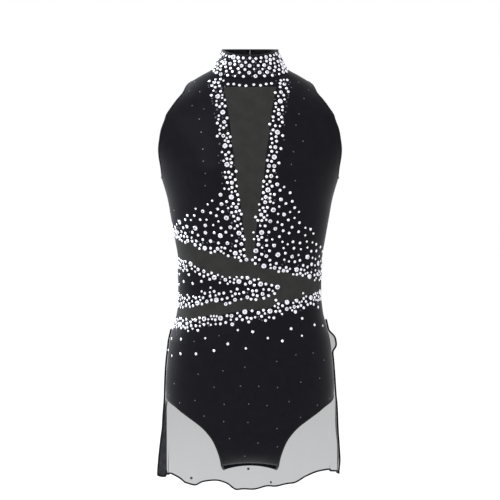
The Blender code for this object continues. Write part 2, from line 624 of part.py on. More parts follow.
def stone_bands(stones):
    """One thin band for each dense row of glued stones."""
    reach = SIDE - STONE_SIDE_GAP
    waist = through([(-reach, BRIEF_SIDE_Z["right"]), *flat(BRIEF_EDGE), (reach, BRIEF_SIDE_Z["left"])])
    right = through([(-reach, BODICE_SIDE_Z["right"]), *flat(BODICE_EDGE_RIGHT)[:-1]])
    left = through([*flat(BODICE_EDGE_LEFT)[1:], (reach, BODICE_SIDE_Z["left"])])
    over = through([(-reach, WEDGE_SIDE_Z[1]), *flat(WEDGE_TOP)[:-1]])
    under = through([(-reach, WEDGE_SIDE_Z[0]), *flat(WEDGE_BOTTOM)[:-2]])
    rows = {"crystals_brief_top": (waist, 40, 0),
            "crystals_bodice_edge_right": (right, 18, BODICE_STONE_RISE),
            "crystals_bodice_edge_left": (left, 18, BODICE_STONE_RISE),
            "crystals_wedge_top": (over, 26, -WEDGE_STONE_INSET),
            "crystals_wedge_bottom": (under, 24, WEDGE_STONE_INSET)}
    for name, (route, columns, shift) in rows.items():
        moved = lambda v, route=route, shift=shift: route(v) + np.array([0, shift])
        grid = on_body(ribbon_grid(moved, STONE_EDGE_WIDTH, columns))
        base = WEDGE_LIFT if "wedge" in name else 0
        sheet(name, grid, STONE_HEIGHT, stones, lift=base + STONE_LIFT + STONE_HEIGHT, gap=0)
    lift = STONE_LIFT + STONE_HEIGHT
    line = through([(angle + STRIP_STONE_TURN, z) for angle, z in flat(STRIP_EDGE)[1:]])
    grid = on_body(ribbon_grid(line, STONE_BAND_WIDTH, 26, along_v=True))
    sheet("crystals_strip_left", grid, STONE_HEIGHT, stones, lift=lift, gap=0)
    sheet("crystals_strip_right", to_side(grid, "right"), STONE_HEIGHT, stones, lift=lift, gap=0)
    angle = float(flat(STRIP_EDGE)[-1][0])
    neck_row = on_body(ribbon_grid(straight((-angle, NECK_ROW_Z), (angle, NECK_ROW_Z)), NECK_ROW_WIDTH, 12))
    sheet("crystals_neck_row", neck_row, STONE_HEIGHT, stones, lift=lift, gap=0)
    angles = np.linspace(-COLLAR_STONE_REACH, COLLAR_STONE_REACH, 41)[None, :]
    v = np.linspace(*COLLAR_STONE_SHARE, 4)[:, None]
    around = collar(*np.broadcast_arrays(angles, v))
    sheet("crystals_collar", around, STONE_HEIGHT, stones, lift=lift, gap=0)


def skirt_parts(net, elastic):
    """Sheer panel round the back with its rolled edge."""
    angles = np.linspace(SKIRT_EDGE_ANGLE, 2 * math.pi - SKIRT_EDGE_ANGLE, SKIRT_FOLDS * 4 + 1)[None, :]
    v = np.linspace(1, 0, 9)[:, None]
    grid = skirt(*np.broadcast_arrays(angles, v))
    sheet("skirt_panel", grid, SKIRT_THICKNESS, net, gap=0)
    gap = HEM_RADIUS + HEM_GAP
    right_edge = beside(grid[:, 0], grid[:, 1], gap)[::-1]
    left_edge = beside(grid[:, -1], grid[:, -2], gap)
    hem = beside(grid[0], grid[1], gap)
    hem[0] = right_edge[-1] + hem[0] - grid[0, 0]
    hem[-1] = left_edge[0] + hem[-1] - grid[0, -1]
    line = np.concatenate([right_edge[:-1], hem, left_edge[1:]])
    tube("skirt_hem", line, HEM_RADIUS, elastic, closed=False)


def box(name, low, high, look, parent):
    """Box between two corners in the parent's frame."""
    bpy.ops.mesh.primitive_cube_add(size=1)
    made = bpy.context.active_object
    for owner in made.users_collection:
        owner.objects.unlink(made)
    low, high = np.array(low), np.array(high)
    for vertex in made.data.vertices:
        vertex.co = (np.array(vertex.co) + 0.5) * (high - low) + low
    made.name = name
    made.data.materials.append(look)
    collection("leotard").objects.link(made)
    made.parent = parent
    return made


def cylinder(name, radius, length, place, parent, sides=16):
    """Cutter or union piece along X."""
    bpy.ops.mesh.primitive_cylinder_add(radius=radius, depth=length, vertices=sides)
    made = bpy.context.active_object
    for owner in made.users_collection:
        owner.objects.unlink(made)
    made.name = name
    made.rotation_euler = (0, math.pi / 2, 0)
    made.location = place
    collection("cutters").objects.link(made)
    made.parent = parent
    made.hide_render = True
    made.display_type = "WIRE"
    return made


def cutter(made):
    """Move a box into the cutters."""
    collection("leotard").objects.unlink(made)
    collection("cutters").objects.link(made)
    made.hide_render = True
    made.display_type = "WIRE"
    return made


def combine(target, tool, operation):
    change = target.modifiers.new(operation.lower(), "BOOLEAN")
    change.operation = operation
    change.solver = "EXACT"
    change.object = tool


def empty(name, place, tilt, parent=None):
    made = bpy.data.objects.new(name, None)
    collection("leotard").objects.link(made)
    made.location = place
    made.rotation_euler = (tilt, 0, 0)
    made.parent = parent
    return made


def zip_parts(tape, coil, metal):
    """Coil zip down the centre back: slider around closed coils, its pull, stops, hook and eye."""
    line = empty("zip_line", (0, ZIP_TOP_Y, ZIP_TOP_Z), ZIP_TILT)
    low = -ZIP_LENGTH
    stop_top = low - STOP_DROP + BOTTOM_STOP_LENGTH
    for side, sign in (("left", 1), ("right", -1)):
        box(f"zip_tape_{side}", *ordered((sign * TAPE_INNER, TAPE_LEVELS[0], low - TAPE_END),
                                         (sign * TAPE_HALF_WIDTH, TAPE_LEVELS[1], TAPE_TOP)), tape, line)
        box(f"zip_coil_{side}", *ordered((sign * COIL_INNER, COIL_LEVELS[0], stop_top + COIL_END_GAP),
                                         (sign * COIL_OUTER, COIL_LEVELS[1], COIL_TOP)), coil, line)
        stop = ordered((sign * COIL_INNER, COIL_LEVELS[0], TOP_STOP_Z[0]),
                       (sign * STOP_HALF_WIDTH, STOP_HEIGHT, TOP_STOP_Z[1]))
        box(f"zip_top_stop_{side}", *stop, metal, line)
    box("zip_bottom_stop", (-STOP_HALF_WIDTH, COIL_LEVELS[0], low - STOP_DROP),
        (STOP_HALF_WIDTH, STOP_HEIGHT, stop_top), metal, line)
    slider_parts(line, metal)
    for name, reach in (("collar_hook", HOOK_X), ("collar_eye", EYE_X)):
        box(name, (reach[0], HOOK_LEVELS[0], HOOK_Z[0]), (reach[1], HOOK_LEVELS[1], HOOK_Z[1]), metal, line)


def ordered(a, b):
    return np.minimum(a, b), np.maximum(a, b)


def slider_parts(line, metal):
    """Slider of two plates and a thin post between the coils, and the pull on its pivot bar."""
    frame = empty("slider_frame", (0, 0, SLIDER_Z), 0, line)
    half, reach = SLIDER_LENGTH / 2, SLIDER_HALF_WIDTH
    out, up = PIVOT
    slider = box("zip_slider", (-reach, TOP_PLATE[0], -half), (reach, TOP_PLATE[1], half), metal, frame)
    for sign in (1, -1):
        flange = box(f"flange_{sign}", *ordered((sign * FLANGE_INNER, FLANGE_LEVELS[0], -half),
                                                (sign * reach, FLANGE_LEVELS[1], half)), metal, frame)
        lug = box(f"lug_{sign}", *ordered((sign * LUG_X[0], FLANGE_LEVELS[1], up - LUG_REACH),
                                          (sign * LUG_X[1], out + LUG_REACH, up + LUG_REACH)), metal, frame)
        combine(slider, cutter(flange), "UNION")
        combine(slider, cutter(lug), "UNION")
    under = box("under_plate", (-reach, UNDER_PLATE[0], -half), (reach, UNDER_PLATE[1], half), metal, frame)
    combine(slider, cutter(under), "UNION")
    post = box("post", (-POST_HALF_WIDTH, POST_LEVELS[0], -STOP_DROP),
               (POST_HALF_WIDTH, POST_LEVELS[1], half - STOP_DROP), metal, frame)
    combine(slider, cutter(post), "UNION")
    combine(slider, cylinder("pivot_bar", *PIVOT_BAR, (0, *PIVOT), frame), "UNION")
    pivot = empty("pull_pivot", (0, *PIVOT), 0, frame)
    width, depth = PULL_HALF_SIZE
    pull = box("zip_pull", (-width, -depth, -PULL_LENGTH), (width, depth, 0.0), metal, pivot)
    combine(pull, cylinder("pull_eye", *PULL_EYE, (0, 0, 0), pivot), "UNION")
    width, depth = GRIP_HALF_SIZE
    grip = box("grip", (-width, -depth, -PULL_LENGTH - GRIP_DROP), (width, depth, GRIP_TOP), metal, pivot)
    combine(pull, cutter(grip), "UNION")
    combine(pull, cylinder("pull_bore", *PULL_BORE, (0, 0, 0), pivot), "DIFFERENCE")


def main():
    for thing in list(bpy.data.objects):
        bpy.data.objects.remove(thing)
    spandex = material("black_spandex", (0.012, 0.012, 0.014), 0.62)
    net = material("black_mesh", (0.035, 0.035, 0.034), 0.75)
    sheer = material("sheer_mesh", (0.02, 0.02, 0.022), 0.7, alpha=0.5)
    lining = material("lining", (0.016, 0.016, 0.018), 0.8)
    elastic = material("elastic", (0.006, 0.006, 0.007), 0.7)
    stones = material("crystal", (0.8, 0.8, 0.84), 0.12, metallic=0.6)
    coil = material("zip_coil", (0.02, 0.02, 0.02), 0.4)
    metal = material("black_enamelled_metal", (0.03, 0.03, 0.032), 0.35, metallic=0.5)
    front_panels(spandex, net)
    brief_bottom(spandex, lining)
    collar_parts(spandex, lining, elastic)
    arm_and_leg_edges(elastic)
    inner_tapes(elastic)
    stone_bands(stones)
    skirt_parts(sheer, elastic)
    zip_parts(elastic, coil, metal)


main()
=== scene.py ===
"""Finished look of the leotard: smooth stretch panels, sheer inserts, faceted stones, skirt and zip."""
import math
import random

import bpy
import numpy as np
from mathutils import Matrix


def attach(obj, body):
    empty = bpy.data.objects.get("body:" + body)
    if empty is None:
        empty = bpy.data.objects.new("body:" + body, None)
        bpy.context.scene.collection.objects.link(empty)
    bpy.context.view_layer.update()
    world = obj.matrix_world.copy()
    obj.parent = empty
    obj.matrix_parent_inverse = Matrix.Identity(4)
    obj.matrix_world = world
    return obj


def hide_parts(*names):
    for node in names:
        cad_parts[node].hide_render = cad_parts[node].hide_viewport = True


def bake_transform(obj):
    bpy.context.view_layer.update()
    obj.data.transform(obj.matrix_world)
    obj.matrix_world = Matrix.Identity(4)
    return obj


scene = bpy.context.scene
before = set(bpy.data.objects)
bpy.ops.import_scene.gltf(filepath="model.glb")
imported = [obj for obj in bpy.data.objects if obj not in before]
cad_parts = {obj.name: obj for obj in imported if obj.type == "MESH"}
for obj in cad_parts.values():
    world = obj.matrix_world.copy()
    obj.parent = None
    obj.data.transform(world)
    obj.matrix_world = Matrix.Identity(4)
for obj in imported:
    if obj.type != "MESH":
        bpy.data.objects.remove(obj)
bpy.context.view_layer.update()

# Body sections, as the frame has them: height, then half width or depth.
HALF_WIDTH = [(-0.34, 0.15), (-0.25, 0.15), (-0.2, 0.1505), (-0.186, 0.1514), (-0.141, 0.1484),
              (-0.098, 0.1436), (-0.07, 0.136), (-0.043, 0.13), (-0.012, 0.1275), (0.018, 0.128),
              (0.05, 0.129), (0.08, 0.1336), (0.12, 0.1405), (0.152, 0.146), (0.191, 0.157),
              (0.232, 0.171), (0.259, 0.183), (0.279, 0.188), (0.3, 0.185), (0.315, 0.17),
              (0.329, 0.152), (0.343, 0.129), (0.362, 0.103), (0.373, 0.0845), (0.384, 0.066), (0.392, 0.062)]
FRONT_DEPTH = [(-0.25, 0.093), (-0.2, 0.101), (-0.16, 0.104), (-0.12, 0.104), (-0.08, 0.1), (-0.04, 0.092),
               (0.0, 0.086), (0.045, 0.088), (0.08, 0.094), (0.11, 0.1), (0.14, 0.107), (0.17, 0.112),
               (0.205, 0.112), (0.232, 0.107), (0.259, 0.101), (0.29, 0.092), (0.325, 0.08),
               (0.352, 0.068), (0.366, 0.06), (0.392, 0.056)]
BACK_DEPTH = [(-0.25, 0.108), (-0.22, 0.116), (-0.18, 0.121), (-0.14, 0.12), (-0.1, 0.112), (-0.06, 0.1),
              (-0.02, 0.09), (0.01, 0.088), (0.05, 0.092), (0.1, 0.101), (0.14, 0.106), (0.17, 0.104)]
SECTION_POWER = 2.2
BUST = {"x": 0.072, "z": 0.205, "radius": 0.045, "rise": 0.008}
CROTCH_TOP_Z = -0.25
CROTCH_DROP = 0.086
GROIN_RISE = 0.01
GROIN_HALF_WIDTH = 0.05
BACK_LINE_LOW_Z = 0.17
BACK_LINE_Z = 0.384
BACK_LINE_Y = 0.058
BACK_LINE_SLOPE = 0.215
NECK_SIDE_Z = 0.384
NECK_FRONT_DIP = 0.018
NECK_BACK_RISE = 0.002
COLLAR_TOP_HALF_WIDTH = 0.0494
COLLAR_TOP_FRONT_DEPTH = 0.052
COLLAR_TOP_Z = 0.4172
COLLAR_FRONT_DIP = 0.0119
COLLAR_BACK_RISE = 0.0013

# Edges over the body: x, z.
BODICE_EDGE_RIGHT = [(-0.1075, 0.0836), (-0.0768, 0.0695), (-0.0484, 0.0645), (-0.0194, 0.0565),
                     (-0.0087, 0.0501)]
BODICE_EDGE_LEFT = [(0.0087, 0.0501), (0.0223, 0.0417), (0.0447, 0.0369), (0.0642, 0.0304),
                    (0.0859, 0.0274), (0.1051, 0.0198)]
WEDGE_TOP = [(-0.1101, 0.0412), (-0.0879, 0.0361), (-0.0672, 0.0269), (-0.0457, 0.0216), (-0.0214, 0.02),
             (0.0087, 0.0177), (0.0291, 0.0116), (0.0486, 0.0053)]
WEDGE_BOTTOM = [(-0.086, -0.0256), (-0.0633, -0.0191), (-0.0389, -0.0212), (-0.0155, -0.0132),
                (0.0155, -0.0121), (0.033, -0.0051), (0.0486, 0.0014)]
BRIEF_EDGE = [(-0.0959, -0.0533), (-0.0771, -0.0461), (-0.0535, -0.044), (-0.033, -0.0386),
              (-0.0049, -0.0345), (0.0233, -0.0327), (0.0555, -0.022), (0.0791, -0.0193),
              (0.1032, -0.0116)]
BODICE_SIDE_Z = {"left": 0.012, "right": 0.092}
BRIEF_SIDE_Z = {"left": -0.008, "right": -0.06}
WEDGE_SIDE_Z = (-0.034, 0.047)
WEDGE_LIFT = 0.0009
STRIP_EDGE = [(0.0087, 0.0501), (0.0096, 0.0887), (0.0134, 0.126), (0.0172, 0.1553), (0.0229, 0.1861),
              (0.0267, 0.2241), (0.0316, 0.261), (0.0345, 0.2905), (0.0404, 0.3239), (0.0454, 0.352)]
NECK_BAND_LOW_Z = 0.352
NECK_BAND_TOP_Z = 0.3675
NECK_BAND_HALF_WIDTH = 0.05
ZIP_GAP = 0.0055
HIP_SEAM_Z = -0.071
HIP_SEAM_SLANT = 0.009
UNDERARM_Z = 0.191
SHOULDER_Z = 0.362
ARMHOLE_FRONT = [(0.1556, 0.1935), (0.1558, 0.206), (0.159, 0.232), (0.157, 0.259), (0.153, 0.279),
                 (0.1456, 0.3), (0.137, 0.315), (0.127, 0.329), (0.116, 0.343)]
ARMHOLE_BACK_CUT = 1.12
LEG_TOP_Z = -0.2
GUSSET_SEAM_Z = -0.318
LEG_FRONT = [(0.134, -0.209), (0.1195, -0.218), (0.1018, -0.2288), (0.084, -0.2414), (0.0722, -0.2535),
             (0.0637, -0.2655), (0.0562, -0.284), (0.0515, -0.302), (0.0495, -0.318)]
LEG_BACK = [(0.139, -0.222), (0.113, -0.25), (0.083, -0.28), (0.062, -0.305), (0.053, -0.318)]
GUSSET_HALF_WIDTH = 0.0455
SKIRT_HALF_WIDTH = {
    "left": [(-0.06, 0.1362), (-0.0833, 0.1417), (-0.103, 0.1465), (-0.1226, 0.1489), (-0.1424, 0.1509),
             (-0.1621, 0.1525), (-0.182, 0.1539), (-0.2017, 0.1552), (-0.2212, 0.1572), (-0.2613, 0.159),
             (-0.3012, 0.1618), (-0.3211, 0.1629), (-0.345, 0.1612), (-0.41, 0.163)],
    "right": [(-0.06, 0.1362), (-0.0832, 0.1424), (-0.093, 0.1449), (-0.103, 0.147), (-0.1128, 0.1481),
              (-0.1227, 0.1493), (-0.1424, 0.1515), (-0.1622, 0.1529), (-0.182, 0.1538), (-0.202, 0.1543),
              (-0.2414, 0.1572), (-0.2613, 0.1584), (-0.2814, 0.1611), (-0.3012, 0.1635), (-0.3211, 0.1656),
              (-0.345, 0.1674), (-0.41, 0.169)]}
SKIRT_DEPTH = [(-0.06, 0.1035), (-0.088, 0.1125), (-0.11, 0.12), (-0.141, 0.1268), (-0.186, 0.1305),
               (-0.245, 0.134), (-0.315, 0.139), (-0.41, 0.146)]
SKIRT_EDGE_ANGLE = math.radians(92)

# Cloth and stones.
SPANDEX = 0.0008
MESH = 0.0004
SEAM_GAP = 0.00012
STRETCH = 1.12
STONE_RADII = {"tiny": 0.0013, "small": 0.0021, "medium": 0.0027, "large": 0.0035, "giant": 0.0046}
SIDE = math.pi / 2
SIDES = (("left", 1), ("right", -1))
FINE = 5
SIDE_ROWS, ARM_ROWS, SHOULDER_ROWS = 6 * FINE, 10 * FINE, 2 * FINE
STRIP_ROWS = SIDE_ROWS + ARM_ROWS
BODICE_ROWS = STRIP_ROWS + SHOULDER_ROWS
BODICE_COLUMNS = 9 * FINE
LEG_ROWS, HIP_ROWS = 11 * FINE, 5 * FINE

# Camera: the frame spans FRAME_WIDTH at the object's middle.
FRAME_WIDTH = 0.893
CAMERA_DISTANCE = 2.75
CAMERA_PITCH = math.radians(5.5)
AIM_Z = 0.0625
FLOOR_Z = -0.75


# ---- surfaces

def smooth(x, table):
    """Monotone cubic through a table of (x, y) points, level beyond its ends."""
    xs, ys = np.array(sorted(table)).T
    step = np.diff(xs)
    slope = np.diff(ys) / step
    tangent = np.concatenate([slope[:1], np.zeros(len(xs) - 2), slope[-1:]])
    same = slope[:-1] * slope[1:] > 0
    weights = (2 * step[1:] + step[:-1], step[1:] + 2 * step[:-1])
    mean = (weights[0] + weights[1]) / (weights[0] / np.where(same, slope[:-1], 1)
                                        + weights[1] / np.where(same, slope[1:], 1))
    tangent[1:-1] = np.where(same, mean, 0)
    x = np.asarray(x, float)
    i = np.clip(np.searchsorted(xs, x) - 1, 0, len(step) - 1)
    s = np.clip((x - xs[i]) / step[i], 0, 1)
    return ((1 + 2 * s) * (1 - s) ** 2 * ys[i] + s * (1 - s) ** 2 * step[i] * tangent[i]
            + s * s * (3 - 2 * s) * ys[i + 1] - s * s * (1 - s) * step[i] * tangent[i + 1])


def through(points):
    """Smooth route through (angle, z) points, as a function of 0..1 along it."""
    points = np.array(points, float)
    chord = np.hypot(np.diff(points[:, 0]) * 0.14, np.diff(points[:, 1]))
    along = np.concatenate([[0], np.cumsum(chord)]) / chord.sum()
    return lambda v: np.stack([smooth(v, list(zip(along, points[:, k]))) for k in (0, 1)], -1)


def straight(a, b):
    """Route between two (angle, z) points."""
    a, b = np.array(a, float), np.array(b, float)
    return lambda v: a + (b - a) * np.asarray(v, float)[..., None]


def chain(parts):
    """Join (share, route) pieces into one route whose corners fall on exact shares."""
    shares = np.cumsum([0] + [share for share, _ in parts]) / sum(share for share, _ in parts)

    def route(v):
        v = np.asarray(v, float)
        i = np.clip(np.searchsorted(shares, v + 1e-9) - 1, 0, len(parts) - 1)
        points = np.zeros(v.shape + (2,))
        for k, (_, part) in enumerate(parts):
            here = i == k
            inside = (v[here] - shares[k]) / (shares[k + 1] - shares[k])
            points[here] = part(np.clip(inside, 0, 1))
        return points

    return route


def around(start, end, height):
    """Route from one angle to another, at the height that the function gives for each angle."""
    def route(u):
        angle = start + (end - start) * u
        return np.stack([angle, height(angle)], -1)

    return route


def mirrored(route):
    """The same route on the wearer's other side."""
    return lambda v: route(v) * np.array([-1, 1])


def rounded(value):
    return np.sign(value) * np.abs(value) ** (2 / SECTION_POWER)


def body(angle, z):
    """Point of the garment's outer surface. Angle 0 is the front, a quarter turn is the wearer's left."""
    angle, z = np.broadcast_arrays(np.asarray(angle, float), np.asarray(z, float))
    fall = np.clip((CROTCH_TOP_Z - z) / CROTCH_DROP, 0, 1)
    bottom = np.sqrt(1 - fall ** 2)
    front = smooth(z, FRONT_DEPTH)
    line = BACK_LINE_Y + (BACK_LINE_Z - z) * BACK_LINE_SLOPE
    back = np.where(z > BACK_LINE_LOW_Z, line, smooth(z, BACK_DEPTH))
    x = smooth(z, HALF_WIDTH) * rounded(np.sin(angle))
    facing = np.cos(angle)
    y = -np.where(facing > 0, front, back) * bottom * rounded(facing)
    far = ((np.abs(x) - BUST["x"]) ** 2 + (z - BUST["z"]) ** 2) / BUST["radius"] ** 2
    y = y - BUST["rise"] * np.exp(-far) * np.clip(facing * 2, 0, 1)
    rise = np.clip((-0.29 - z) / 0.046, 0, 1) * np.clip(1 - (x / GROIN_HALF_WIDTH) ** 2, 0, 1)
    return np.stack([x, y, z + GROIN_RISE * rise], -1)


def length(vectors):
    return np.linalg.norm(vectors, axis=-1)


def unit(vectors):
    return vectors / np.maximum(length(vectors)[..., None], 1e-12)


def seat(surface, angle, rise):
    """Points of the body or the collar, and their outward directions."""
    step = 1e-4 if surface is body else 1e-3
    along = surface(angle + step, rise) - surface(angle - step, rise)
    up = surface(angle, rise + step) - surface(angle, rise - step)
    return surface(angle, rise), unit(np.cross(along, up))


def angle_at(x, z):
    """Angle at which the front of the section at z reaches x."""
    share = np.clip(np.abs(x) / smooth(z, HALF_WIDTH), 0, 1) ** (SECTION_POWER / 2)
    return np.sign(x) * np.arcsin(share)


def flat(points):
    """(x, z) points of the front as (angle, z)."""
    return [(float(angle_at(x, z)), z) for x, z in points]


def ring_z(angle, side, dip, rise):
    """Height round the neck: level at the sides, dipped in front and raised behind."""
    facing = np.cos(angle)
    return side - dip * np.clip(facing, 0, 1) ** 1.5 + rise * np.clip(-facing, 0, 1)


def neck_z(angle):
    return ring_z(angle, NECK_SIDE_Z, NECK_FRONT_DIP, NECK_BACK_RISE)


def collar(angle, v):
    """Point of the collar, v from its seam to its top edge."""
    angle, v = np.broadcast_arrays(np.asarray(angle, float), np.asarray(v, float))
    facing = np.cos(angle)
    low = body(angle, neck_z(angle))
    top_z = ring_z(angle, COLLAR_TOP_Z, COLLAR_FRONT_DIP, COLLAR_BACK_RISE)
    back = BACK_LINE_Y + (BACK_LINE_Z - top_z) * BACK_LINE_SLOPE
    top = np.stack([COLLAR_TOP_HALF_WIDTH * rounded(np.sin(angle)),
                    -np.where(facing > 0, COLLAR_TOP_FRONT_DEPTH, back) * rounded(facing), top_z], -1)
    return low + (top - low) * v[..., None]


def hip_z(angle):
    return HIP_SEAM_Z + HIP_SEAM_SLANT * np.sin(angle)


def patch(bottom, top, left, right, columns, rows):
    """(angle, z) grid between four routes, as a Coons patch. u grows with the angle, v upwards."""
    u = np.linspace(0, 1, columns + 1)
    v = np.linspace(0, 1, rows + 1)
    low, high, start, end = bottom(u)[None], top(u)[None], left(v)[:, None], right(v)[:, None]
    u, v = u[None, :, None], v[:, None, None]
    corners = ((1 - u) * (1 - v) * low[:, :1] + u * (1 - v) * low[:, -1:]
               + (1 - u) * v * high[:, :1] + u * v * high[:, -1:])
    return (1 - v) * low + v * high + (1 - u) * start + u * end - corners


def on_body(grid):
    return body(grid[..., 0], grid[..., 1])


def grid_normals(grid):
    return unit(np.cross(np.gradient(grid, axis=1), np.gradient(grid, axis=0)))


def retreat(grid, gap):
    """Draw the four edges in by the seam gap."""
    grid = grid.copy()
    every = slice(None)
    for edge, inner in ((0, 1), (-1, -2), ((every, 0), (every, 1)), ((every, -1), (every, -2))):
        grid[edge] += unit(grid[inner] - grid[edge]) * gap
    return grid


# ---- materials

SHEEN_TINT = (0.72, 0.76, 0.95, 1)
KNIT_PITCH, NET_PITCH, RIB_PITCH = 0.0008, 0.0016, 0.0012


def material(name, colour, roughness, metallic=0.0, sheen=0.0, alpha=1.0, coat=0.0, specular=0.14):
    made = bpy.data.materials.new(name)
    made.use_nodes = True
    shader = made.node_tree.nodes["Principled BSDF"]
    for socket, value in (("Base Color", (*colour, 1)), ("Roughness", roughness), ("Metallic", metallic),
                          ("Sheen Weight", sheen), ("Sheen Roughness", 0.35), ("Sheen Tint", SHEEN_TINT),
                          ("Specular IOR Level", specular), ("Coat Weight", coat), ("Alpha", alpha)):
        shader.inputs[socket].default_value = value
    return made


def node(tree, kind, **values):
    made = tree.nodes.new(kind)
    for key, value in values.items():
        if hasattr(made, key):
            setattr(made, key, value)
        else:
            made.inputs[key.replace("_", " ")].default_value = value
    return made


def cloth_place(tree):
    """Position on the cloth in metres: across, then along the grain."""
    return node(tree, "ShaderNodeAttribute", attribute_name="cloth").outputs["Vector"]


def add_bump(made, height, strength, distance):
    tree = made.node_tree
    bump = node(tree, "ShaderNodeBump", Strength=strength, Distance=distance)
    tree.links.new(height, bump.inputs["Height"])
    tree.links.new(bump.outputs["Normal"], tree.nodes["Principled BSDF"].inputs["Normal"])


def colour_ramp(made, factor, first, last, middle=None):
    """Colour the base by a factor, between stops of (position, colour)."""
    tree = made.node_tree
    ramp = node(tree, "ShaderNodeValToRGB")
    stops = ramp.color_ramp.elements
    for stop, (position, colour) in zip(stops, (first, last)):
        stop.position, stop.color = position, (*colour, 1)
    if middle:
        stops.new(middle[0]).color = (*middle[1], 1)
    tree.links.new(factor, ramp.inputs["Fac"])
    tree.links.new(ramp.outputs["Color"], tree.nodes["Principled BSDF"].inputs["Base Color"])


def vary(made, dark, light, place, scale):
    """Mix two shades of the base colour by soft noise."""
    noise = node(made.node_tree, "ShaderNodeTexNoise", Scale=scale, Detail=3.0)
    made.node_tree.links.new(place, noise.inputs["Vector"])
    colour_ramp(made, noise.outputs["Fac"], (0.35, dark), (0.65, light))
    return noise


def knit(name, dark, light, roughness, sheen, specular=0.05):
    """Stretch knit: fine vertical wales crossed by courses, with soft uneven tone."""
    made = material(name, dark, roughness, sheen=sheen, specular=specular)
    tree = made.node_tree
    place = cloth_place(tree)
    vary(made, dark, light, place, 60)
    wales = node(tree, "ShaderNodeTexWave", Scale=0.5 / KNIT_PITCH / math.pi, Distortion=1.2, Detail=1.0,
                 Detail_Scale=3.0)
    courses = node(tree, "ShaderNodeTexWave", Scale=0.35 / KNIT_PITCH / math.pi, bands_direction="Y",
                   Distortion=0.8)
    both = node(tree, "ShaderNodeMath", operation="MULTIPLY")
    for wave, socket in ((wales, 0), (courses, 1)):
        tree.links.new(place, wave.inputs["Vector"])
        tree.links.new(wave.outputs["Fac"], both.inputs[socket])
    add_bump(made, both.outputs[0], 0.6, 0.00006)
    return made


def net(name, dark, light, alpha, depth=0.0001, sheen_streak=1.0):
    """Fine sheer mesh with its round holes; a streak below 1 draws its tone noise out along the grain into
    streaks, whose lighter shade is painted sheen.
    """
    made = material(name, dark, 0.75, sheen=0.03, alpha=alpha)
    tree = made.node_tree
    place = cloth_place(tree)
    drawn = node(tree, "ShaderNodeMapping", Scale=(1, sheen_streak, 1))
    tree.links.new(place, drawn.inputs["Vector"])
    vary(made, dark, light, drawn.outputs["Vector"], 45)
    holes = node(tree, "ShaderNodeTexVoronoi", Scale=1 / NET_PITCH, Randomness=0.15)
    tree.links.new(place, holes.inputs["Vector"])
    add_bump(made, holes.outputs["Distance"], 0.5, depth)
    return made


def ribbed(name, colour, roughness):
    """Woven elastic with cross ribs."""
    made = material(name, colour, roughness, sheen=0.1)
    tree = made.node_tree
    ribs = node(tree, "ShaderNodeTexWave", Scale=0.5 / RIB_PITCH / math.pi, bands_direction="Y")
    tree.links.new(cloth_place(tree), ribs.inputs["Vector"])
    add_bump(made, ribs.outputs["Fac"], 0.5, 0.00012)
    return made


def crystal(name, colour, roughness, metallic):
    """Foil-backed stone: bright facets, each darkened by its own painted shade, which stands in for the
    reflections in a cut stone.
    """
    made = material(name, colour, roughness, metallic=metallic, coat=0.6)
    painted_facet_shade = node(made.node_tree, "ShaderNodeAttribute", attribute_name="painted_facet_shade")
    # Painted reflection: the facets run from near black through lilac to the stone's colour.
    lilac = (colour[0] * 0.8, colour[1] * 0.79, colour[2] * 0.95)
    colour_ramp(made, painted_facet_shade.outputs["Fac"], (0, [c * 0.08 for c in colour]), (1, colour), (0.5, lilac))
    return made


def enamel(name, colour, roughness):
    """Black enamelled metal with faint wear."""
    made = material(name, colour, roughness, metallic=0.7, coat=0.3)
    place = node(made.node_tree, "ShaderNodeTexCoord").outputs["Object"]
    noise = vary(made, colour, tuple(c * 2.2 for c in colour), place, 900)
    add_bump(made, noise.outputs["Fac"], 0.15, 0.00005)
    return made


LOOKS = {
    "spandex": knit("black_spandex", (0.0055, 0.0053, 0.0076), (0.0066, 0.0064, 0.009), 0.45, 0.06),
    # The gusset is the spandex made darker and without shine: its darker base colour is painted shade under
    # the crotch.
    "gusset": knit("gusset_knit_painted_shade", (0.004, 0.0038, 0.0056), (0.006, 0.0058, 0.008), 0.9, 0.0, specular=0.0),
    "lining": knit("lining_knit", (0.008, 0.008, 0.009), (0.014, 0.014, 0.015), 0.8, 0.05),
    "net": net("black_net", (0.021, 0.021, 0.0205), (0.027, 0.027, 0.026), 0.97),
    # The sheer net's lighter shade, drawn out into streaks along the grain, is painted sheen.
    "sheer": net("sheer_net", (0.026, 0.025, 0.032), (0.05, 0.048, 0.06), 0.56, depth=0.00003, sheen_streak=0.12),
    "elastic": ribbed("black_elastic", (0.004, 0.004, 0.005), 0.6),
    "clear": crystal("clear_crystal", (0.97, 0.97, 0.99), 0.12, 0.8),
    "jet": crystal("jet_crystal", (0.09, 0.09, 0.125), 0.1, 0.6),
    "coil": material("nylon_coil", (0.02, 0.02, 0.021), 0.35),
    "metal": enamel("black_enamel", (0.02, 0.02, 0.021), 0.3),
}


# ---- building pieces

def add_object(name, data):
    made = bpy.data.objects.new(name, data)
    scene.collection.objects.link(made)
    return made


def mesh_object(name, points, faces, look, sharp=False):
    mesh = bpy.data.meshes.new(name)
    mesh.from_pydata(points.tolist(), [], faces)
    mesh.update()
    if not sharp:
        mesh.shade_smooth()
    mesh.materials.append(LOOKS[look])
    return add_object(name, mesh)


def quads(rows, columns, wrap_rows=False, wrap_columns=False):
    """Faces of a grid of rows by columns of points, joined round where asked."""
    i = np.arange(rows if wrap_rows else rows - 1)[:, None]
    j = np.arange(columns if wrap_columns else columns - 1)[None, :]
    a = i * columns + j
    b = i * columns + (j + 1) % columns
    c = (i + 1) % rows * columns + (j + 1) % columns
    d = (i + 1) % rows * columns + j
    return np.stack([a, b, c, d], -1).reshape(-1, 4).tolist()


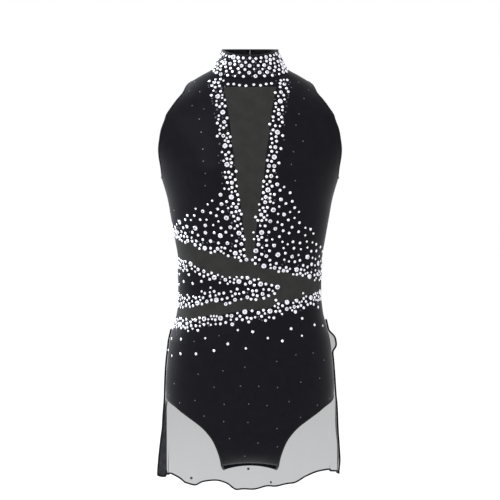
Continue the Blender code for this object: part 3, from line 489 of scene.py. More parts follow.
def mark_cloth(made, across, along):
    """Store each point's place on the cloth, in metres."""
    place = made.data.attributes.new("cloth", "FLOAT_VECTOR", "POINT")
    both = np.stack([across.ravel(), along.ravel(), np.zeros(across.size)], -1)
    place.data.foreach_set("vector", both.astype(np.float32).ravel())


def settle(made, nodes, slot):
    """The piece rides the garment and stands for the CAD nodes that it replaces."""
    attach(made, "garment")
    if nodes:
        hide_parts(*nodes)


def lengths(grid):
    """Running length along each row and each column of a grid."""
    across = np.cumsum(np.pad(length(np.diff(grid, axis=1)), ((0, 0), (1, 0))), axis=1)
    along = np.cumsum(np.pad(length(np.diff(grid, axis=0)), ((1, 0), (0, 0))), axis=0)
    return across, along


def area(grid):
    """Area of a grid's faces."""
    a, b, c, d = grid[:-1, :-1], grid[:-1, 1:], grid[1:, 1:], grid[1:, :-1]
    return float((length(np.cross(b - a, d - a)) + length(np.cross(b - c, d - c))).sum() / 2)


def sheet(name, grid, thickness, look, slot, lift=0.0, gap=SEAM_GAP, dip=0.0, declared=True):
    """A cloth panel on a grid of surface points. For a declared one the cut area, smaller than the worn area,
    is worked out but not used.
    """
    rows, columns = grid.shape[:2]
    edge = np.ones((rows, columns))
    edge[1:-1, 1:-1] = 0
    grid = retreat(grid + grid_normals(grid) * (lift - dip * edge)[..., None], gap)
    made = mesh_object(name, grid.reshape(-1, 3), quads(rows, columns), look)
    across, along = lengths(grid)
    mark_cloth(made, across - across[:, columns // 2][:, None], along - along[rows // 2][None, :])
    solid = made.modifiers.new("thickness", "SOLIDIFY")
    solid.thickness = thickness
    solid.offset = -1
    settle(made, [name], slot)
    if declared:
        area(grid) / STRETCH ** 2


def sweep(name, points, out, half_width, half_height, look, closed=False, sides=10):
    """Flattened round section along a line; out is the direction that the flat side faces."""
    along = unit(np.roll(points, -1, 0) - np.roll(points, 1, 0) if closed else np.gradient(points, axis=0))
    across = unit(np.cross(along, out))
    out = np.cross(across, along)
    turn = np.arange(sides) * 2 * math.pi / sides
    ring = (across[:, None] * (np.cos(turn) * half_width)[None, :, None]
            + out[:, None] * (np.sin(turn) * half_height)[None, :, None])
    faces = quads(len(points), sides, wrap_rows=closed, wrap_columns=True)
    if not closed:
        faces += [list(range(sides)), list(range(len(points) * sides - 1, (len(points) - 1) * sides - 1, -1))]
    made = mesh_object(name, (points[:, None] + ring).reshape(-1, 3), [face[::-1] for face in faces], look)
    mark_cloth(made, *np.broadcast_arrays(np.cos(turn) * half_width, lengths(points[:, None])[1]))
    return made


def merged(name, pieces, look):
    """One sharp-edged mesh from (points, faces) pairs."""
    points, faces, start = [], [], 0
    for part_points, part_faces in pieces:
        points.append(part_points)
        faces += [[start + i for i in face] for face in part_faces]
        start += len(part_points)
    return mesh_object(name, np.concatenate(points), faces, look, sharp=True)


# ---- panels

def strip_foot():
    """Level end of the centre strip, from the wearer's right."""
    x, z = STRIP_EDGE[0]
    tip = float(angle_at(x, z))
    return straight((-tip, z), (tip, z))


def wedge_edges():
    """Top and bottom of the tongue over the waist, from the side seam to its tip."""
    return (through([(-SIDE, WEDGE_SIDE_Z[1]), *flat(WEDGE_TOP)]),
            through([(-SIDE, WEDGE_SIDE_Z[0]), *flat(WEDGE_BOTTOM)]))


def strip_route():
    """Edge of the centre strip on +X, from its tip to the neck seam."""
    neck = float(angle_at(NECK_BAND_HALF_WIDTH, NECK_BAND_TOP_Z))
    return chain([(STRIP_ROWS, through(flat(STRIP_EDGE))),
                  (SHOULDER_ROWS, straight(flat(STRIP_EDGE)[-1], (neck, float(neck_z(neck)))))])


def front_armhole():
    return flat(ARMHOLE_FRONT)


def back_armhole():
    return [(SIDE + (SIDE - angle) * ARMHOLE_BACK_CUT, z) for angle, z in front_armhole()]


def bodice_outer(side_z, armhole):
    """Side seam, armhole and shoulder seam of one half, on +X."""
    return chain([(SIDE_ROWS, straight((SIDE, side_z), (SIDE, UNDERARM_Z))),
                  (ARM_ROWS, through([(SIDE, UNDERARM_Z), *armhole, (SIDE, SHOULDER_Z)])),
                  (SHOULDER_ROWS, straight((SIDE, SHOULDER_Z), (SIDE, NECK_SIDE_Z)))])


def bodice_bottom(side):
    """Wave along the bottom of one front panel, on +X, from the strip's tip to the side seam."""
    edge = BODICE_EDGE_LEFT if side == "left" else [(-x, z) for x, z in reversed(BODICE_EDGE_RIGHT)]
    return through([*flat(edge), (SIDE, BODICE_SIDE_Z[side])])


def to_side(points, side):
    """Surface points made for +X, mirrored when the side is the wearer's right."""
    return points if side == "left" else points[:, ::-1] * np.array([-1, 1, 1])


def panel(name, grid, look="spandex"):
    """Spandex panel whose edges dip into its seams."""
    sheet(name, grid, SPANDEX, look, "black_spandex", dip=0.0003)


def front_bodice(side):
    inner = strip_route()
    start = inner(np.array(1.0))[0]
    outer = bodice_outer(BODICE_SIDE_Z[side], front_armhole())
    grid = patch(bodice_bottom(side), around(start, SIDE, neck_z), inner, outer, BODICE_COLUMNS, BODICE_ROWS)
    panel(f"front_bodice_{side}", to_side(on_body(grid), side))


def back_bodice(side):
    """Back panel from the hip seam to the neck, along the zip."""
    sign = 1 if side == "left" else -1
    closed = float(math.pi - angle_at(0.0005, 0.0))
    high = [(math.pi - float(angle_at(ZIP_GAP, z)), z) for z in np.linspace(0.174, 0.386, 7)]
    low = [(closed, float(hip_z(math.pi))), (closed, 0.02), (closed, 0.163), high[0]]
    inner = chain([(8, through(low)), (10, through(high))])
    end_low, end_high = inner(np.array(0.0)), inner(np.array(1.0))
    hem = around(SIDE, end_low[0], lambda angle: hip_z(sign * angle))
    outer = bodice_outer(float(hip_z(SIDE * sign)), back_armhole())
    grid = patch(hem, around(SIDE, end_high[0], neck_z), outer, inner, BODICE_COLUMNS, BODICE_ROWS)
    panel(f"back_bodice_{side}", to_side(on_body(grid), side))


def waist_line():
    return through([(-SIDE, BRIEF_SIDE_Z["right"]), *flat(BRIEF_EDGE), (SIDE, BRIEF_SIDE_Z["left"])])


def band_top():
    """Top of the sheer waist band: both bodice waves and the strip's end between them."""
    wave = mirrored(bodice_bottom("right"))
    return chain([(9, lambda u: wave(1 - u)), (2, strip_foot()), (9, bodice_bottom("left"))])


def between(low, high, columns, rows):
    """Patch between two routes with straight sides."""
    zero, one = np.array(0.0), np.array(1.0)
    return patch(low, high, straight(low(zero), high(zero)), straight(low(one), high(one)), columns, rows)


def sheer_and_wedge():
    """Neck band, sheer strip, sheer waist band and the tongue over it."""
    angle = strip_route()(np.array(1.0))[0]
    corner = flat(STRIP_EDGE)[-1][0]
    low = straight((-corner, NECK_BAND_LOW_Z), (corner, NECK_BAND_LOW_Z))
    panel("front_neck_band", on_body(between(low, around(-angle, angle, neck_z), 48, 8)))
    side = through(flat(STRIP_EDGE))
    strip = patch(strip_foot(), low, mirrored(side), side, 24, STRIP_ROWS)
    sheet("mesh_centre_strip", on_body(strip), MESH, "net", "black_mesh", lift=-0.0002, gap=0)
    band = between(waist_line(), band_top(), 120, 28)
    sheet("mesh_waist_band", on_body(band), MESH, "net", "black_mesh", lift=-0.0002, gap=0)
    over, under = wedge_edges()
    sheet("waist_wedge", on_body(between(under, over, 90, 16)), SPANDEX * 0.7, "spandex", "black_spandex",
          lift=WEDGE_LIFT, dip=0.0004)


def leg_edge(points):
    """Leg opening of one half on +X, from the gusset seam up to the side seam."""
    return through([*reversed(flat(points)), (SIDE, LEG_TOP_Z)])


def brief(name, top, side_z, leg, turn):
    """Front (turn 0) or back (turn pi) of the brief."""
    def outline(side):
        hip = straight((SIDE, LEG_TOP_Z), (SIDE, side_z[side]))
        full = chain([(LEG_ROWS, leg_edge(leg)), (HIP_ROWS, hip)])
        sign = 1 if (side == "left") != bool(turn) else -1
        return lambda v: full(v) * np.array([sign, 1]) + np.array([turn, 0])

    start, end = (outline("left"), outline("right")) if turn else (outline("right"), outline("left"))
    foot = straight(start(np.array(0.0)), end(np.array(0.0)))
    grid = patch(foot, top, start, end, 100, LEG_ROWS + HIP_ROWS)
    panel(name, on_body(grid))


def gusset_grid():
    """Under the crotch, from the front seam to the back seam."""
    reach = math.acos((CROTCH_TOP_Z - GUSSET_SEAM_Z) / CROTCH_DROP)
    turn = np.linspace(-reach, reach, 41)[:, None]
    z = CROTCH_TOP_Z - CROTCH_DROP * np.cos(turn)
    edge = np.where(turn < 0, LEG_FRONT[-1][0], LEG_BACK[-1][0])
    width = GUSSET_HALF_WIDTH + (edge - GUSSET_HALF_WIDTH) * (turn / reach) ** 2
    x = width * np.linspace(-1, 1, 25)[None, :]
    z = np.broadcast_to(z, x.shape)
    front = angle_at(x, z)
    angle = np.where(turn < 0, front, math.pi - front)
    return body(angle, z)[::-1]


def panels():
    for side in ("left", "right"):
        front_bodice(side)
        back_bodice(side)
    sheer_and_wedge()
    brief("front_brief", waist_line(), BRIEF_SIDE_Z, LEG_FRONT, 0)
    hip = around(SIDE, SIDE + math.pi, hip_z)
    brief("back_brief", hip, {"left": float(hip_z(SIDE)), "right": float(hip_z(-SIDE))}, LEG_BACK, math.pi)
    under = gusset_grid()
    panel("crotch_gusset", under, "gusset")
    sheet("gusset_lining", under, SPANDEX, "lining", "lining", lift=-0.0014, gap=0.002)


def elastic(name, line, out, half_width, half_height, closed=False):
    """Flattened elastic along a line."""
    settle(sweep(name, line, out, half_width, half_height, "elastic", closed), [name], "elastic")


def tape(name, points, out):
    """Flat tape inside a seam."""
    elastic(name, points - out * 0.0021, out, 0.0042, 0.0004)


def collar_pieces():
    """Outer band, lining and the folded binding, drawn shut above the zip by the hook and eye."""
    opening, closed = math.pi - float(angle_at(ZIP_GAP, 0.39)) - 0.03, math.pi - 0.001
    v = np.linspace(0, 1, 22)[:, None]
    for name, less, lift, look, slot in (("collar_outer", 0, 0.0, "spandex", "black_spandex"),
                                         ("collar_lining", 0.11, -0.0014, "lining", "lining")):
        reach = smooth(v, [(0.72, opening - less), (0.8, closed - less)])
        sheet(name, collar(np.linspace(-1, 1, 240) * reach, v), SPANDEX * 0.7, look, slot, lift=lift)
    angles = np.linspace(-closed, closed, 240)
    rim, out = seat(collar, angles, np.full_like(angles, 0.985))
    elastic("collar_top_binding", rim - out * 0.0006, out, 0.0022, 0.0011)


def edge_loops():
    """Closed lines with their outward directions: armhole and leg opening on +X."""
    v = np.linspace(0, 1, 90)
    front = through([(SIDE, UNDERARM_Z), *front_armhole(), (SIDE, SHOULDER_Z)])(v)
    back = through([(SIDE, UNDERARM_Z), *back_armhole(), (SIDE, SHOULDER_Z)])(v)
    arm = np.concatenate([front, back[-2:0:-1]])
    rise = leg_edge(LEG_FRONT)(v)
    fall = leg_edge(LEG_BACK)(v)
    fall[:, 0] = math.pi - fall[:, 0]
    under = gusset_grid()[::-1]
    (rise, rise_out), (fall, fall_out) = seat(body, *rise.T), seat(body, *fall.T)
    leg = np.concatenate([rise, fall[-2::-1], under[1:-1, -1][::-1]])
    leg_out = np.concatenate([rise_out, fall_out[-2::-1], -grid_normals(under)[1:-1, -1][::-1]])
    return {"armhole_binding": seat(body, *arm.T), "leg_elastic": (leg, unit(leg_out))}


def even(points, out, spacing):
    """A closed line and its directions resampled at even spacing, lightly smoothed."""
    both = np.concatenate([points, out], axis=1)
    both = np.concatenate([both, both[:1]])
    run = lengths(both[:, None, :3])[1][:, 0]
    at = np.linspace(0, run[-1], int(run[-1] / spacing) + 1)[:-1]
    even_rows = np.stack([np.interp(at, run, column) for column in both.T], -1)
    line, face = even_rows[:, :3], even_rows[:, 3:]
    for _ in range(4):
        face = (np.roll(face, 1, 0) + face * 2 + np.roll(face, -1, 0)) / 4
    return line, unit(face)


def bindings():
    """Folded elastic over each opening's edge."""
    for name, (points, out) in edge_loops().items():
        line, face = even(points, out, 0.0028)
        for side, sign in SIDES:
            flip = np.array([sign, 1, 1])
            elastic(f"{name}_{side}", (line - face * 0.0004) * flip, face * flip, 0.0021, 0.0012,
                    closed=True)


def inner_tapes():
    """Overlocked seam allowances and stay tapes on the inside."""
    heights = np.linspace(-0.188, 0.18, 120)
    shoulder = np.linspace(0.3655, 0.3805, 16)
    for name, z in (("side_seam_tape", heights), ("shoulder_seam_tape", shoulder)):
        points, out = seat(body, np.full_like(z, SIDE), z)
        for side, sign in SIDES:
            flip = np.array([sign, 1, 1])
            tape(f"{name}_{side}", points * flip, out * flip)
    angles = SIDE + math.pi * np.linspace(0.04, 0.96, 160)
    tape("hip_seam_tape", *seat(body, angles, hip_z(angles)))


# ---- stones

def stone_mesh(radius, facets=8):
    """Flat-backed stone with a table, two tiers of facets and a girdle."""
    tiers = ((1.0, 0.0, 0), (1.0, 0.12, 0), (0.82, 0.42, 0.5), (0.5, 0.62, 0))
    points = [(0, 0, 0)]
    for size, height, turn in tiers:
        for k in range(facets):
            angle = 2 * math.pi * (k + turn) / facets
            points.append((size * math.cos(angle), size * math.sin(angle), height))
    ring = lambda tier, k: 1 + tier * facets + k % facets
    faces = [[0, ring(0, k + 1), ring(0, k)] for k in range(facets)]
    for k in range(facets):
        faces.append([ring(0, k), ring(0, k + 1), ring(1, k + 1), ring(1, k)])
        faces.append([ring(1, k), ring(1, k + 1), ring(2, k)])
        faces.append([ring(1, k + 1), ring(2, k + 1), ring(2, k)])
        faces.append([ring(2, k), ring(2, k + 1), ring(3, k + 1)])
        faces.append([ring(2, k), ring(3, k + 1), ring(3, k)])
    faces.append([ring(3, k) for k in range(facets)])
    return np.array(points) * np.array([radius, radius, radius * 0.75]), faces


def place_stone(point, out, radius, turn):
    """A stone's points and faces, seated on the surface."""
    points, faces = stone_mesh(radius)
    side = unit(np.cross(out, (0.31, 0.11, 0.94)))
    up = np.cross(out, side)
    c, s = math.cos(turn), math.sin(turn)
    x, y, height = points.T[:, :, None]
    return point + (x * c - y * s) * side + (x * s + y * c) * up + height * out, faces


class Stones:
    """Stones that never overlap, gathered by group."""

    def __init__(self, seed):
        self.random = random.Random(seed)
        self.seats = np.zeros((0, 3))
        self.radii = np.zeros(0)
        self.groups = {}

    def put(self, group, point, out, size, gap, lift=0.0):
        """Seat one stone, if it clears the others by the gap."""
        radius = STONE_RADII[size]
        if (length(self.seats - point) < self.radii + radius + gap).any():
            return False
        self.seats = np.vstack([self.seats, point])
        self.radii = np.append(self.radii, radius)
        placed = place_stone(point + out * (lift + 0.0001), out, radius, self.random.uniform(0, 1))
        # Depth of the painted facet shade: strong on large and giant stones, weak on the rest.
        painted_shade_depth = 0.95 if size in ("large", "giant") else 0.4
        self.groups.setdefault(group, []).append((*placed, self.random.random(), painted_shade_depth))
        return True

    def pick(self, mix):
        """A size from {size: weight}."""
        return self.random.choices(list(mix), list(mix.values()))[0]

    def build(self):
        """One mesh for each group, with a painted shade on every facet and the table darkest, standing in for
        a cut stone's reflections.
        """
        for group, stones in self.groups.items():
            look = "jet" if group.startswith("jets") else "clear"
            made = merged(group, [stone[:2] for stone in stones], look)
            facet_shades = []
            # Each facet's painted shade comes from the stone's random tone; the table gets the deepest, as
            # painted reflection.
            for _, faces, tone, painted_shade_depth in stones:
                facet_shades += [1 - painted_shade_depth * 0.7 * (math.sin(7 * k + 40 * tone) * 0.5 + 0.5) ** 3
                          for k in range(len(faces) - 1)]
                facet_shades.append(1 - painted_shade_depth * (0.55 + 0.4 * tone))
            painted_facet_shade = made.data.attributes.new("painted_facet_shade", "FLOAT", "FACE")
            painted_facet_shade.data.foreach_set("value", facet_shades)
            yield group, made


def lines_with_stones():
    """The decorated edges of the front: group name to (angle, z) points."""
    v = np.linspace(0, 1, 240)
    lines = {}
    for side, sign in SIDES:
        route = through([(sign * float(angle_at(x, z)), z) for z, x in STONE_LINE])
        lines[f"crystals_strip_{side}"] = route(v)
    over, under = wedge_edges()
    for name, route, rise in (("bodice_edge_right", mirrored(bodice_bottom("right")), 0.003),
                              ("bodice_edge_left", bodice_bottom("left"), 0.003),
                              ("wedge_top", over, -0.001), ("wedge_bottom", under, 0.001),
                              ("brief_top", waist_line(), -0.004)):
        lines[f"crystals_{name}"] = route(v) + np.array([0, rise])
    return lines


STONE_LINE = [(0.3645, 0.0581), (0.3239, 0.0501), (0.2905, 0.0456), (0.261, 0.0426), (0.2242, 0.0372),
              (0.1861, 0.0315), (0.1553, 0.0268), (0.126, 0.0211), (0.0886, 0.0159), (0.059, 0.0116)]
FAN = [(-0.132, 0.111), (-0.115, 0.1231), (-0.1016, 0.1428), (-0.075, 0.1487), (-0.0603, 0.1628),
       (-0.0382, 0.1842), (0.0334, 0.1957), (0.064, 0.1821), (0.0799, 0.1476), (0.093, 0.1214),
       (0.1072, 0.1057), (0.1294, 0.0613)]
BOLD = (("giant", 0.021), ("large", 0.0095))
MIX = {"small": 2.4, "medium": 6, "large": 0.5}
COLLAR_MIX = {"small": 1, "medium": 4, "large": 3, "giant": 0.4}
DARTS, DARK_DARTS = 36000, 5000
COLLAR_ROWS, COLLAR_AROUND, COLLAR_DARK_DARTS, COLLAR_REACH = 6, 37, 900, 2.85
# How far from a line its stones are seated, by region, and what changes beyond the x where lines crowd.
LINE_REACH = {"bodice": 0.0082, "wedge": 0.0085, "brief": 0.0115, "mesh": 0.0052}
WEDGE_BOTTOM_REACH = 0.0165
CROWDED_X = 0.112
OUTLIER_REACH = {"bodice": 0.0135, "mesh": 0.0125, "brief": 0.062}


def regions(angle, z):
    """Which panel of the front each point is on."""
    v = np.linspace(0, 1, 60)
    over, under = (route(v) for route in wedge_edges())
    waves = np.concatenate([mirrored(bodice_bottom("right"))(v)[::-1], bodice_bottom("left")(v)])
    strip = np.interp(z, [z for _, z in STRIP_EDGE], [a for a, _ in flat(STRIP_EDGE)])
    bodice = (z > np.interp(angle, *waves.T)) & ((np.abs(angle) > strip) | (z > NECK_BAND_LOW_Z))
    below = z < np.interp(angle, *waist_line()(v).T)
    wedge = (angle < over[-1, 0]) & (z > np.interp(angle, *under.T)) & (z < np.interp(angle, *over.T))
    return np.select([bodice, below, wedge], ["bodice", "brief", "wedge"], "mesh")


def distances(points, lines):
    """Distance of each point from each line, as one row for each line."""
    return np.stack([length(on_body(line)[::3, None] - points).min(0) for line in lines.values()])


def clearance(where, line, far, z, x):
    """Gap that stones keep at a place and whether they belong to a line; None where there are none."""
    crowded, wide = (0.0004, 1.35) if abs(x) > CROWDED_X else (0.0009, 1.0)
    reach = LINE_REACH[where]
    if where == "bodice":
        if far < reach * wide:
            return crowded, True
        if z < np.interp(x, *np.array(FAN).T):
            return 0.0026 + min(far, 0.06) * 0.062, False
        return (0.003, False) if far < OUTLIER_REACH[where] and z % 0.024 < 0.008 else None
    if where == "wedge":
        if far < (WEDGE_BOTTOM_REACH if line == "crystals_wedge_bottom" else reach * wide):
            return crowded + 0.0003, True
        return 0.011, True
    if where == "brief":
        if far < reach:
            return crowded, True
        return (0.006 if far < 0.016 else 0.019, False) if far < OUTLIER_REACH[where] else None
    if far < reach * wide:
        return crowded, True
    if far >= OUTLIER_REACH[where]:
        return None
    if z > 0.1:
        return (0.0035, True) if (z + 0.012) % 0.027 < 0.007 else None
    return 0.0105, True


def seat_front(stones):
    """The boldest clear stones, the rest along the edges and in the scatter, then small dark ones beyond."""
    lines = lines_with_stones()
    names = list(lines)
    darts = np.random.default_rng(11)
    angle = darts.uniform(-SIDE - 0.04, SIDE + 0.04, DARTS)
    z = darts.uniform(-0.14, 0.372, DARTS)
    keep = z < neck_z(angle) - 0.004
    angle, z = angle[keep], z[keep]
    (points, outs), where = seat(body, angle, z), regions(angle, z)
    fars = distances(points, lines)
    nearest = fars.argmin(0)
    far = fars.min(0)
    bold_place = (far < 0.0045) | ((where == "bodice") & (far > 0.014) & (far < 0.03))
    for bold, apart in (*BOLD, (None, 0)):
        for k in range(len(angle)):
            line = names[nearest[k]]
            found = clearance(where[k], line, far[k], z[k], points[k, 0])
            if found is None or (bold and not bold_place[k]):
                continue
            gap, on_line = found
            group = line if on_line else f"crystals_scatter_{where[k]}"
            stones.put(group, points[k], outs[k], bold or stones.pick(MIX), apart or gap,
                       lift=WEDGE_LIFT if where[k] == "wedge" else 0.0)
    legs = np.array([(z, x - 0.01) for x, z in reversed(LEG_FRONT)] + [(LEG_TOP_Z, 0.15)]).T
    dark = np.nonzero((darts.random(len(angle)) < 0.5) & (where != "mesh"))[0]
    angle[dark] = darts.uniform(-SIDE, SIDE, len(dark))
    z[dark] = darts.uniform(-0.3, 0.362, len(dark))
    (points, outs), where = seat(body, angle, z), regions(angle, z)
    far = distances(points, lines).min(0)
    beyond = np.where(where == "brief", np.abs(points[:, 0]) > np.interp(z, *legs), far > 0.05)
    for k in dark[:DARK_DARTS]:
        if where[k] == "mesh" or beyond[k]:
            continue
        size = "small" if far[k] < 0.012 and stones.random.random() < 0.4 else "tiny"
        apart = 0.0008 if far[k] < 0.016 else 0.016 if far[k] < 0.05 else 0.029
        stones.put(f"jets_{where[k]}", points[k], outs[k], size, apart)


def decorate():
    """All the stones: collar, neck row, edges and the scatter between them."""
    stones = Stones(7)
    for row in range(COLLAR_ROWS):
        for k in range(COLLAR_AROUND):
            angle = ((k + 0.5 * (row % 2)) / COLLAR_AROUND * 2 * math.pi - math.pi
                     + stones.random.uniform(-0.02, 0.02))
            v = (row + 0.62 + stones.random.uniform(-0.12, 0.12)) / (COLLAR_ROWS + 0.35)
            if abs(angle) < COLLAR_REACH:
                stones.put("crystals_collar", *seat(collar, angle, v), stones.pick(COLLAR_MIX), 0.0002)
    for _ in range(COLLAR_DARK_DARTS):
        angle, v = stones.random.uniform(-COLLAR_REACH, COLLAR_REACH), stones.random.uniform(0.08, 0.93)
        stones.put("jets_collar", *seat(collar, angle, v), "tiny", 0.0006)
    corner = float(flat(STRIP_EDGE)[-1][0])
    for k in range(8):
        angle = corner * (k / 3.5 - 1) * 0.86
        z = 0.3545 + 0.004 * (angle / corner) ** 2 + stones.random.uniform(-0.0012, 0.0012)
        stones.put("crystals_neck_row", *seat(body, angle, z), "medium", 0.001)
    seat_front(stones)
    for group, made in stones.build():
        settle(made, [group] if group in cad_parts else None, "crystal")


# ---- skirt

SKIRT_HEM = [(0, -0.3452), (0.15, -0.355), (0.232, -0.366), (0.278, -0.3764), (0.343, -0.3951),
             (0.43, -0.4023), (0.5, -0.412), (0.537, -0.4106), (0.578, -0.3957), (0.63, -0.391),
             (0.685, -0.3943), (0.749, -0.388), (0.773, -0.3792), (0.826, -0.3652), (0.9, -0.3559),
             (1, -0.348)]
# Pleats drawn together along the skirt's two front edges: share of the way round, how many, and the x of
# their inner bends at each height.
PLEATS = {"left": {"share": 0.09, "count": 1.5,
                   "inner": [(-0.34, 0.1588), (-0.3, 0.1586), (-0.26, 0.1552), (-0.22, 0.1545)]},
          "right": {"share": 0.14, "count": 4.5, "inner": [(-0.34, 0.1534), (-0.2, 0.1528)]}}
PUFF = {"z": -0.1025, "half_height": 0.015, "rise": 0.0082, "share": 0.05}
SKIRT_STONES = [(0.012, -0.1098), (0.43, -0.3953), (0.504, -0.3718), (0.727, -0.3794)]


def skirt(s, v):
    """Point of the skirt: s from the wearer's left edge round to the right, v from hip seam to hem."""
    s, v = np.broadcast_arrays(np.asarray(s, float), np.asarray(v, float))
    angle = SKIRT_EDGE_ANGLE + (2 * math.pi - 2 * SKIRT_EDGE_ANGLE) * s
    top = hip_z(angle) - 0.001
    ruffle = 0.0035 * np.sin(2 * math.pi * 23 * s) * smooth(s, [(0.84, 0), (0.9, 1)]) * v ** 3
    z = top + (smooth(s, SKIRT_HEM) - top) * v + ruffle
    near = np.minimum(s, 1 - s)
    wave = np.sin(2 * math.pi * (6.3 * s + 0.12 + 0.06 * v)) + 0.5 * np.sin(2 * math.pi * (13.3 * s + 0.3))
    fold = 0.0075 * v ** 1.3 * (wave + 0.2) * smooth(near, [(0, 0), (0.14, 1), (0.5, 1)])
    puff = PUFF["rise"] * np.exp(-((z - PUFF["z"]) / PUFF["half_height"]) ** 4 - (s / PUFF["share"]) ** 2)
    half = np.where(s < 0.5, smooth(z, SKIRT_HALF_WIDTH["left"]), smooth(z, SKIRT_HALF_WIDTH["right"]))
    x = (half + fold * 0.5 + puff) * rounded(np.sin(angle))
    y = -(smooth(z, SKIRT_DEPTH) + fold) * rounded(np.cos(angle))
    for side, sign in SIDES:
        pleat = PLEATS[side]
        along = (s if sign == 1 else 1 - s) / pleat["share"]
        swing = 0.5 - 0.5 * np.cos(2 * math.pi * pleat["count"] * along)
        drawn = smooth(along, [(0.85, 1), (1.15, 0)]) * smooth(z, [(-0.235, 1), (-0.175, 0)])
        pleated = sign * (half + (smooth(z, pleat["inner"]) - half) * swing)
        x = x + (pleated - x) * drawn * (s * sign < 0.5 * sign)
    return np.stack([x, y, z], -1)


def skirt_pieces():
    """Sheer panel, rolled hem and dark stones, from the hip seam down."""
    share = np.concatenate([np.linspace(0, 0.12, 70)[:-1], np.linspace(0.12, 0.82, 150),
                            np.linspace(0.82, 1, 160)[1:]])
    grid = skirt(share[None, :], np.linspace(1, 0, 110)[:, None])
    rows, columns = grid.shape[:2]
    cloth = mesh_object("skirt_panel", grid.reshape(-1, 3), quads(rows, columns), "sheer")
    across, along = lengths(grid)
    mark_cloth(cloth, across, along)
    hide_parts("skirt_panel")
    line = np.concatenate([grid[:0:-1, 0], grid[0], grid[1:, -1]])
    out = grid_normals(grid)
    face = np.concatenate([out[:0:-1, 0], out[0], out[1:, -1]])
    hem = sweep("skirt_hem", line, face, 0.0016, 0.0016, "elastic", sides=8)
    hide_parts("skirt_hem")
    stones = Stones(3)
    for s, z in SKIRT_STONES:
        heights = skirt(np.full(200, s), np.linspace(0, 1, 200))[:, 2]
        v = float(np.interp(-z, -heights, np.linspace(0, 1, 200)))
        point, ahead, below = (skirt(s + ds, v + dv) for ds, dv in ((0, 0), (0.002, 0), (0, 0.01)))
        stones.put("jets_skirt", point, unit(np.cross(below - point, ahead - point)), "medium", 0.001)
    (_, dark), = stones.build()
    for piece in (cloth, hem, dark):
        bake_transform(piece)
    area(grid)


# ---- zip

ZIP_TOP = (0, 0.0505, 0.4185)
COIL_TURNS = 180
HOOK = [(-0.009, 0.0), (-0.0075, 0.0012), (-0.004, 0.0007), (0.0004, 0.0006), (0.0008, 0.0),
        (0.0004, -0.0006), (-0.004, -0.0007), (-0.0075, -0.0012), (-0.009, 0.0)]
EYE = [(0.009, 0.001), (0.0075, 0.0013), (0.004, 0.0009), (0.0016, 0.0007), (0.0014, 0.0),
       (0.0016, -0.0007), (0.004, -0.0009), (0.0075, -0.0013), (0.009, -0.001)]


def zip_frame(across, out, up):
    """Points in the zip's own frame, from the collar's top edge, as world points."""
    tilt = math.atan(BACK_LINE_SLOPE)
    outward = np.array([0, math.cos(tilt), math.sin(tilt)])
    upward = np.array([0, -math.sin(tilt), math.cos(tilt)])
    across, out, up = (part[..., None] for part in np.broadcast_arrays(across, out, up))
    return np.array(ZIP_TOP) + across * np.array([1, 0, 0]) + out * outward + up * upward


def zip_pieces():
    """Nylon coils, woven tapes, bent wire hook and eye; the metal parts keep their shape."""
    for side, sign in SIDES:
        t = np.linspace(0, COIL_TURNS, COIL_TURNS * 10)
        phase = 2 * math.pi * t + (0 if sign == 1 else math.pi)
        line = zip_frame(sign * (0.00125 + 0.0006 * np.cos(phase)), -0.00075 + 0.0005 * np.sin(phase),
                         -0.2425 + t / COIL_TURNS * 0.2295)
        made = sweep(f"zip_coil_{side}", line, np.broadcast_to((sign, 0, 0), line.shape), 0.00024, 0.00024,
                     "coil", sides=5)
        settle(made, [f"zip_coil_{side}"], "zip_coil")
        up = np.linspace(-0.2495, -0.006, 240)[:, None]
        inner = smooth(up, [(-0.0125, 0.0008), (-0.011, 0.0001)])
        grid = zip_frame(sign * (inner + (0.008 - inner) * np.linspace(0, 1, 9)), -0.0018, up)
        sheet(f"zip_tape_{side}", grid if sign == 1 else grid[:, ::-1], 0.0005, "elastic", "elastic", gap=0,
              declared=False)
    for name, route in (("collar_hook", HOOK), ("collar_eye", EYE)):
        across, up = np.array(route).T
        knots = np.linspace(0, 1, len(route))
        fine = np.linspace(0, 1, 60)
        line = zip_frame(np.interp(fine, knots, across), -0.0023, np.interp(fine, knots, up) - 0.0057)
        out = zip_frame(0.0, 1.0, 0.0) - zip_frame(0.0, 0.0, 0.0) + np.zeros_like(line)
        settle(sweep(name, line, out, 0.0003, 0.0003, "metal", sides=6), [name], "black_enamelled_metal")
    for name in ("zip_slider", "zip_pull", "zip_top_stop_left", "zip_top_stop_right", "zip_bottom_stop"):
        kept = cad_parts[name]
        kept.data.materials.clear()
        kept.data.materials.append(LOOKS["metal"])
        edge = kept.modifiers.new("edges", "BEVEL")
        edge.width = 0.00015
        edge.segments = 2
        edge.limit_method = "ANGLE"


# ---- stage

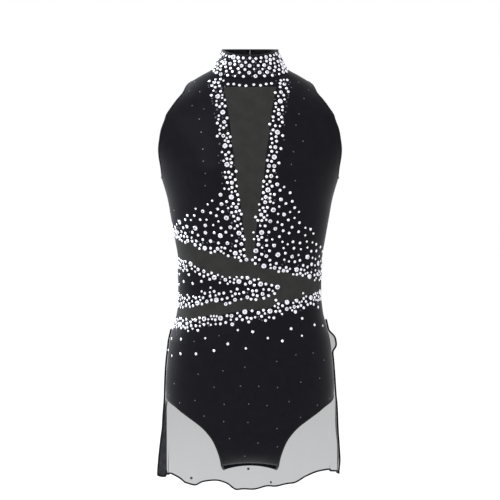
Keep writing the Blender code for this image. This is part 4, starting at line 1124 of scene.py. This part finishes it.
LAMPS = (("key", (-1.4, -2.2, 1.6), (0, 0, 0.1), (1.2, 1.2), 26, (1, 1, 1)),
         ("fill", (1.9, -1.9, 0.9), (0, 0, 0), (1.6, 1.6), 3, (1, 1, 1)),
         ("top", (0, 0.2, 2.4), (0, 0, 0), (1.6, 1.6), 8, (1, 1, 1)),
         ("back_left", (-1.9, 1.3, 1.0), (0, 0, 0.1), (1.2, 1.8), 66, (0.88, 0.93, 1.0)),
         ("back_right", (1.8, 1.8, 1.2), (0, 0, 0), (1.2, 1.8), 1, (1, 1, 1)))
FLOOR_GLOW = 0.61


def lamp(name, place, aim, size, power, colour):
    light = bpy.data.lights.new(name, "AREA")
    light.shape = "RECTANGLE"
    light.size, light.size_y = size
    light.energy = power
    light.color = colour
    made = add_object(name, light)
    made.location = place
    direction = np.array(aim) - np.array(place)
    made.rotation_euler = (math.atan2(math.hypot(*direction[:2]), -direction[2]),
                           0, math.atan2(direction[1], direction[0]) - math.pi / 2)


def studio():
    """Pale floor, soft lamps and the camera."""
    world = bpy.data.worlds.new("studio")
    world.use_nodes = True
    sky = world.node_tree.nodes["Background"]
    sky.inputs["Color"].default_value = (1, 1, 1, 1)
    sky.inputs["Strength"].default_value = 1.0
    scene.world = world
    scene.view_settings.view_transform = "Standard"
    bpy.ops.mesh.primitive_circle_add(vertices=96, radius=9, fill_type="NGON", location=(0, 0, FLOOR_Z))
    floor = bpy.context.active_object
    floor.name = "floor"
    paper = material("pale_floor", (0.4, 0.4, 0.4), 0.9, specular=0.05)
    glow = paper.node_tree.nodes["Principled BSDF"]
    glow.inputs["Emission Color"].default_value = (1, 1, 1, 1)
    glow.inputs["Emission Strength"].default_value = FLOOR_GLOW
    floor.data.materials.append(paper)
    for row in LAMPS:
        lamp(*row)
    camera = add_object("camera", bpy.data.cameras.new("camera"))
    camera.data.lens = camera.data.sensor_width * CAMERA_DISTANCE / FRAME_WIDTH
    camera.data.clip_end = 60
    camera.location = (0, -CAMERA_DISTANCE * math.cos(CAMERA_PITCH),
                       AIM_Z + CAMERA_DISTANCE * math.sin(CAMERA_PITCH))
    camera.rotation_euler = (math.pi / 2 - CAMERA_PITCH, 0, 0)
    bpy.context.scene.camera = camera


studio()
panels()
collar_pieces()
bindings()
inner_tapes()
decorate()
skirt_pieces()
zip_pieces()
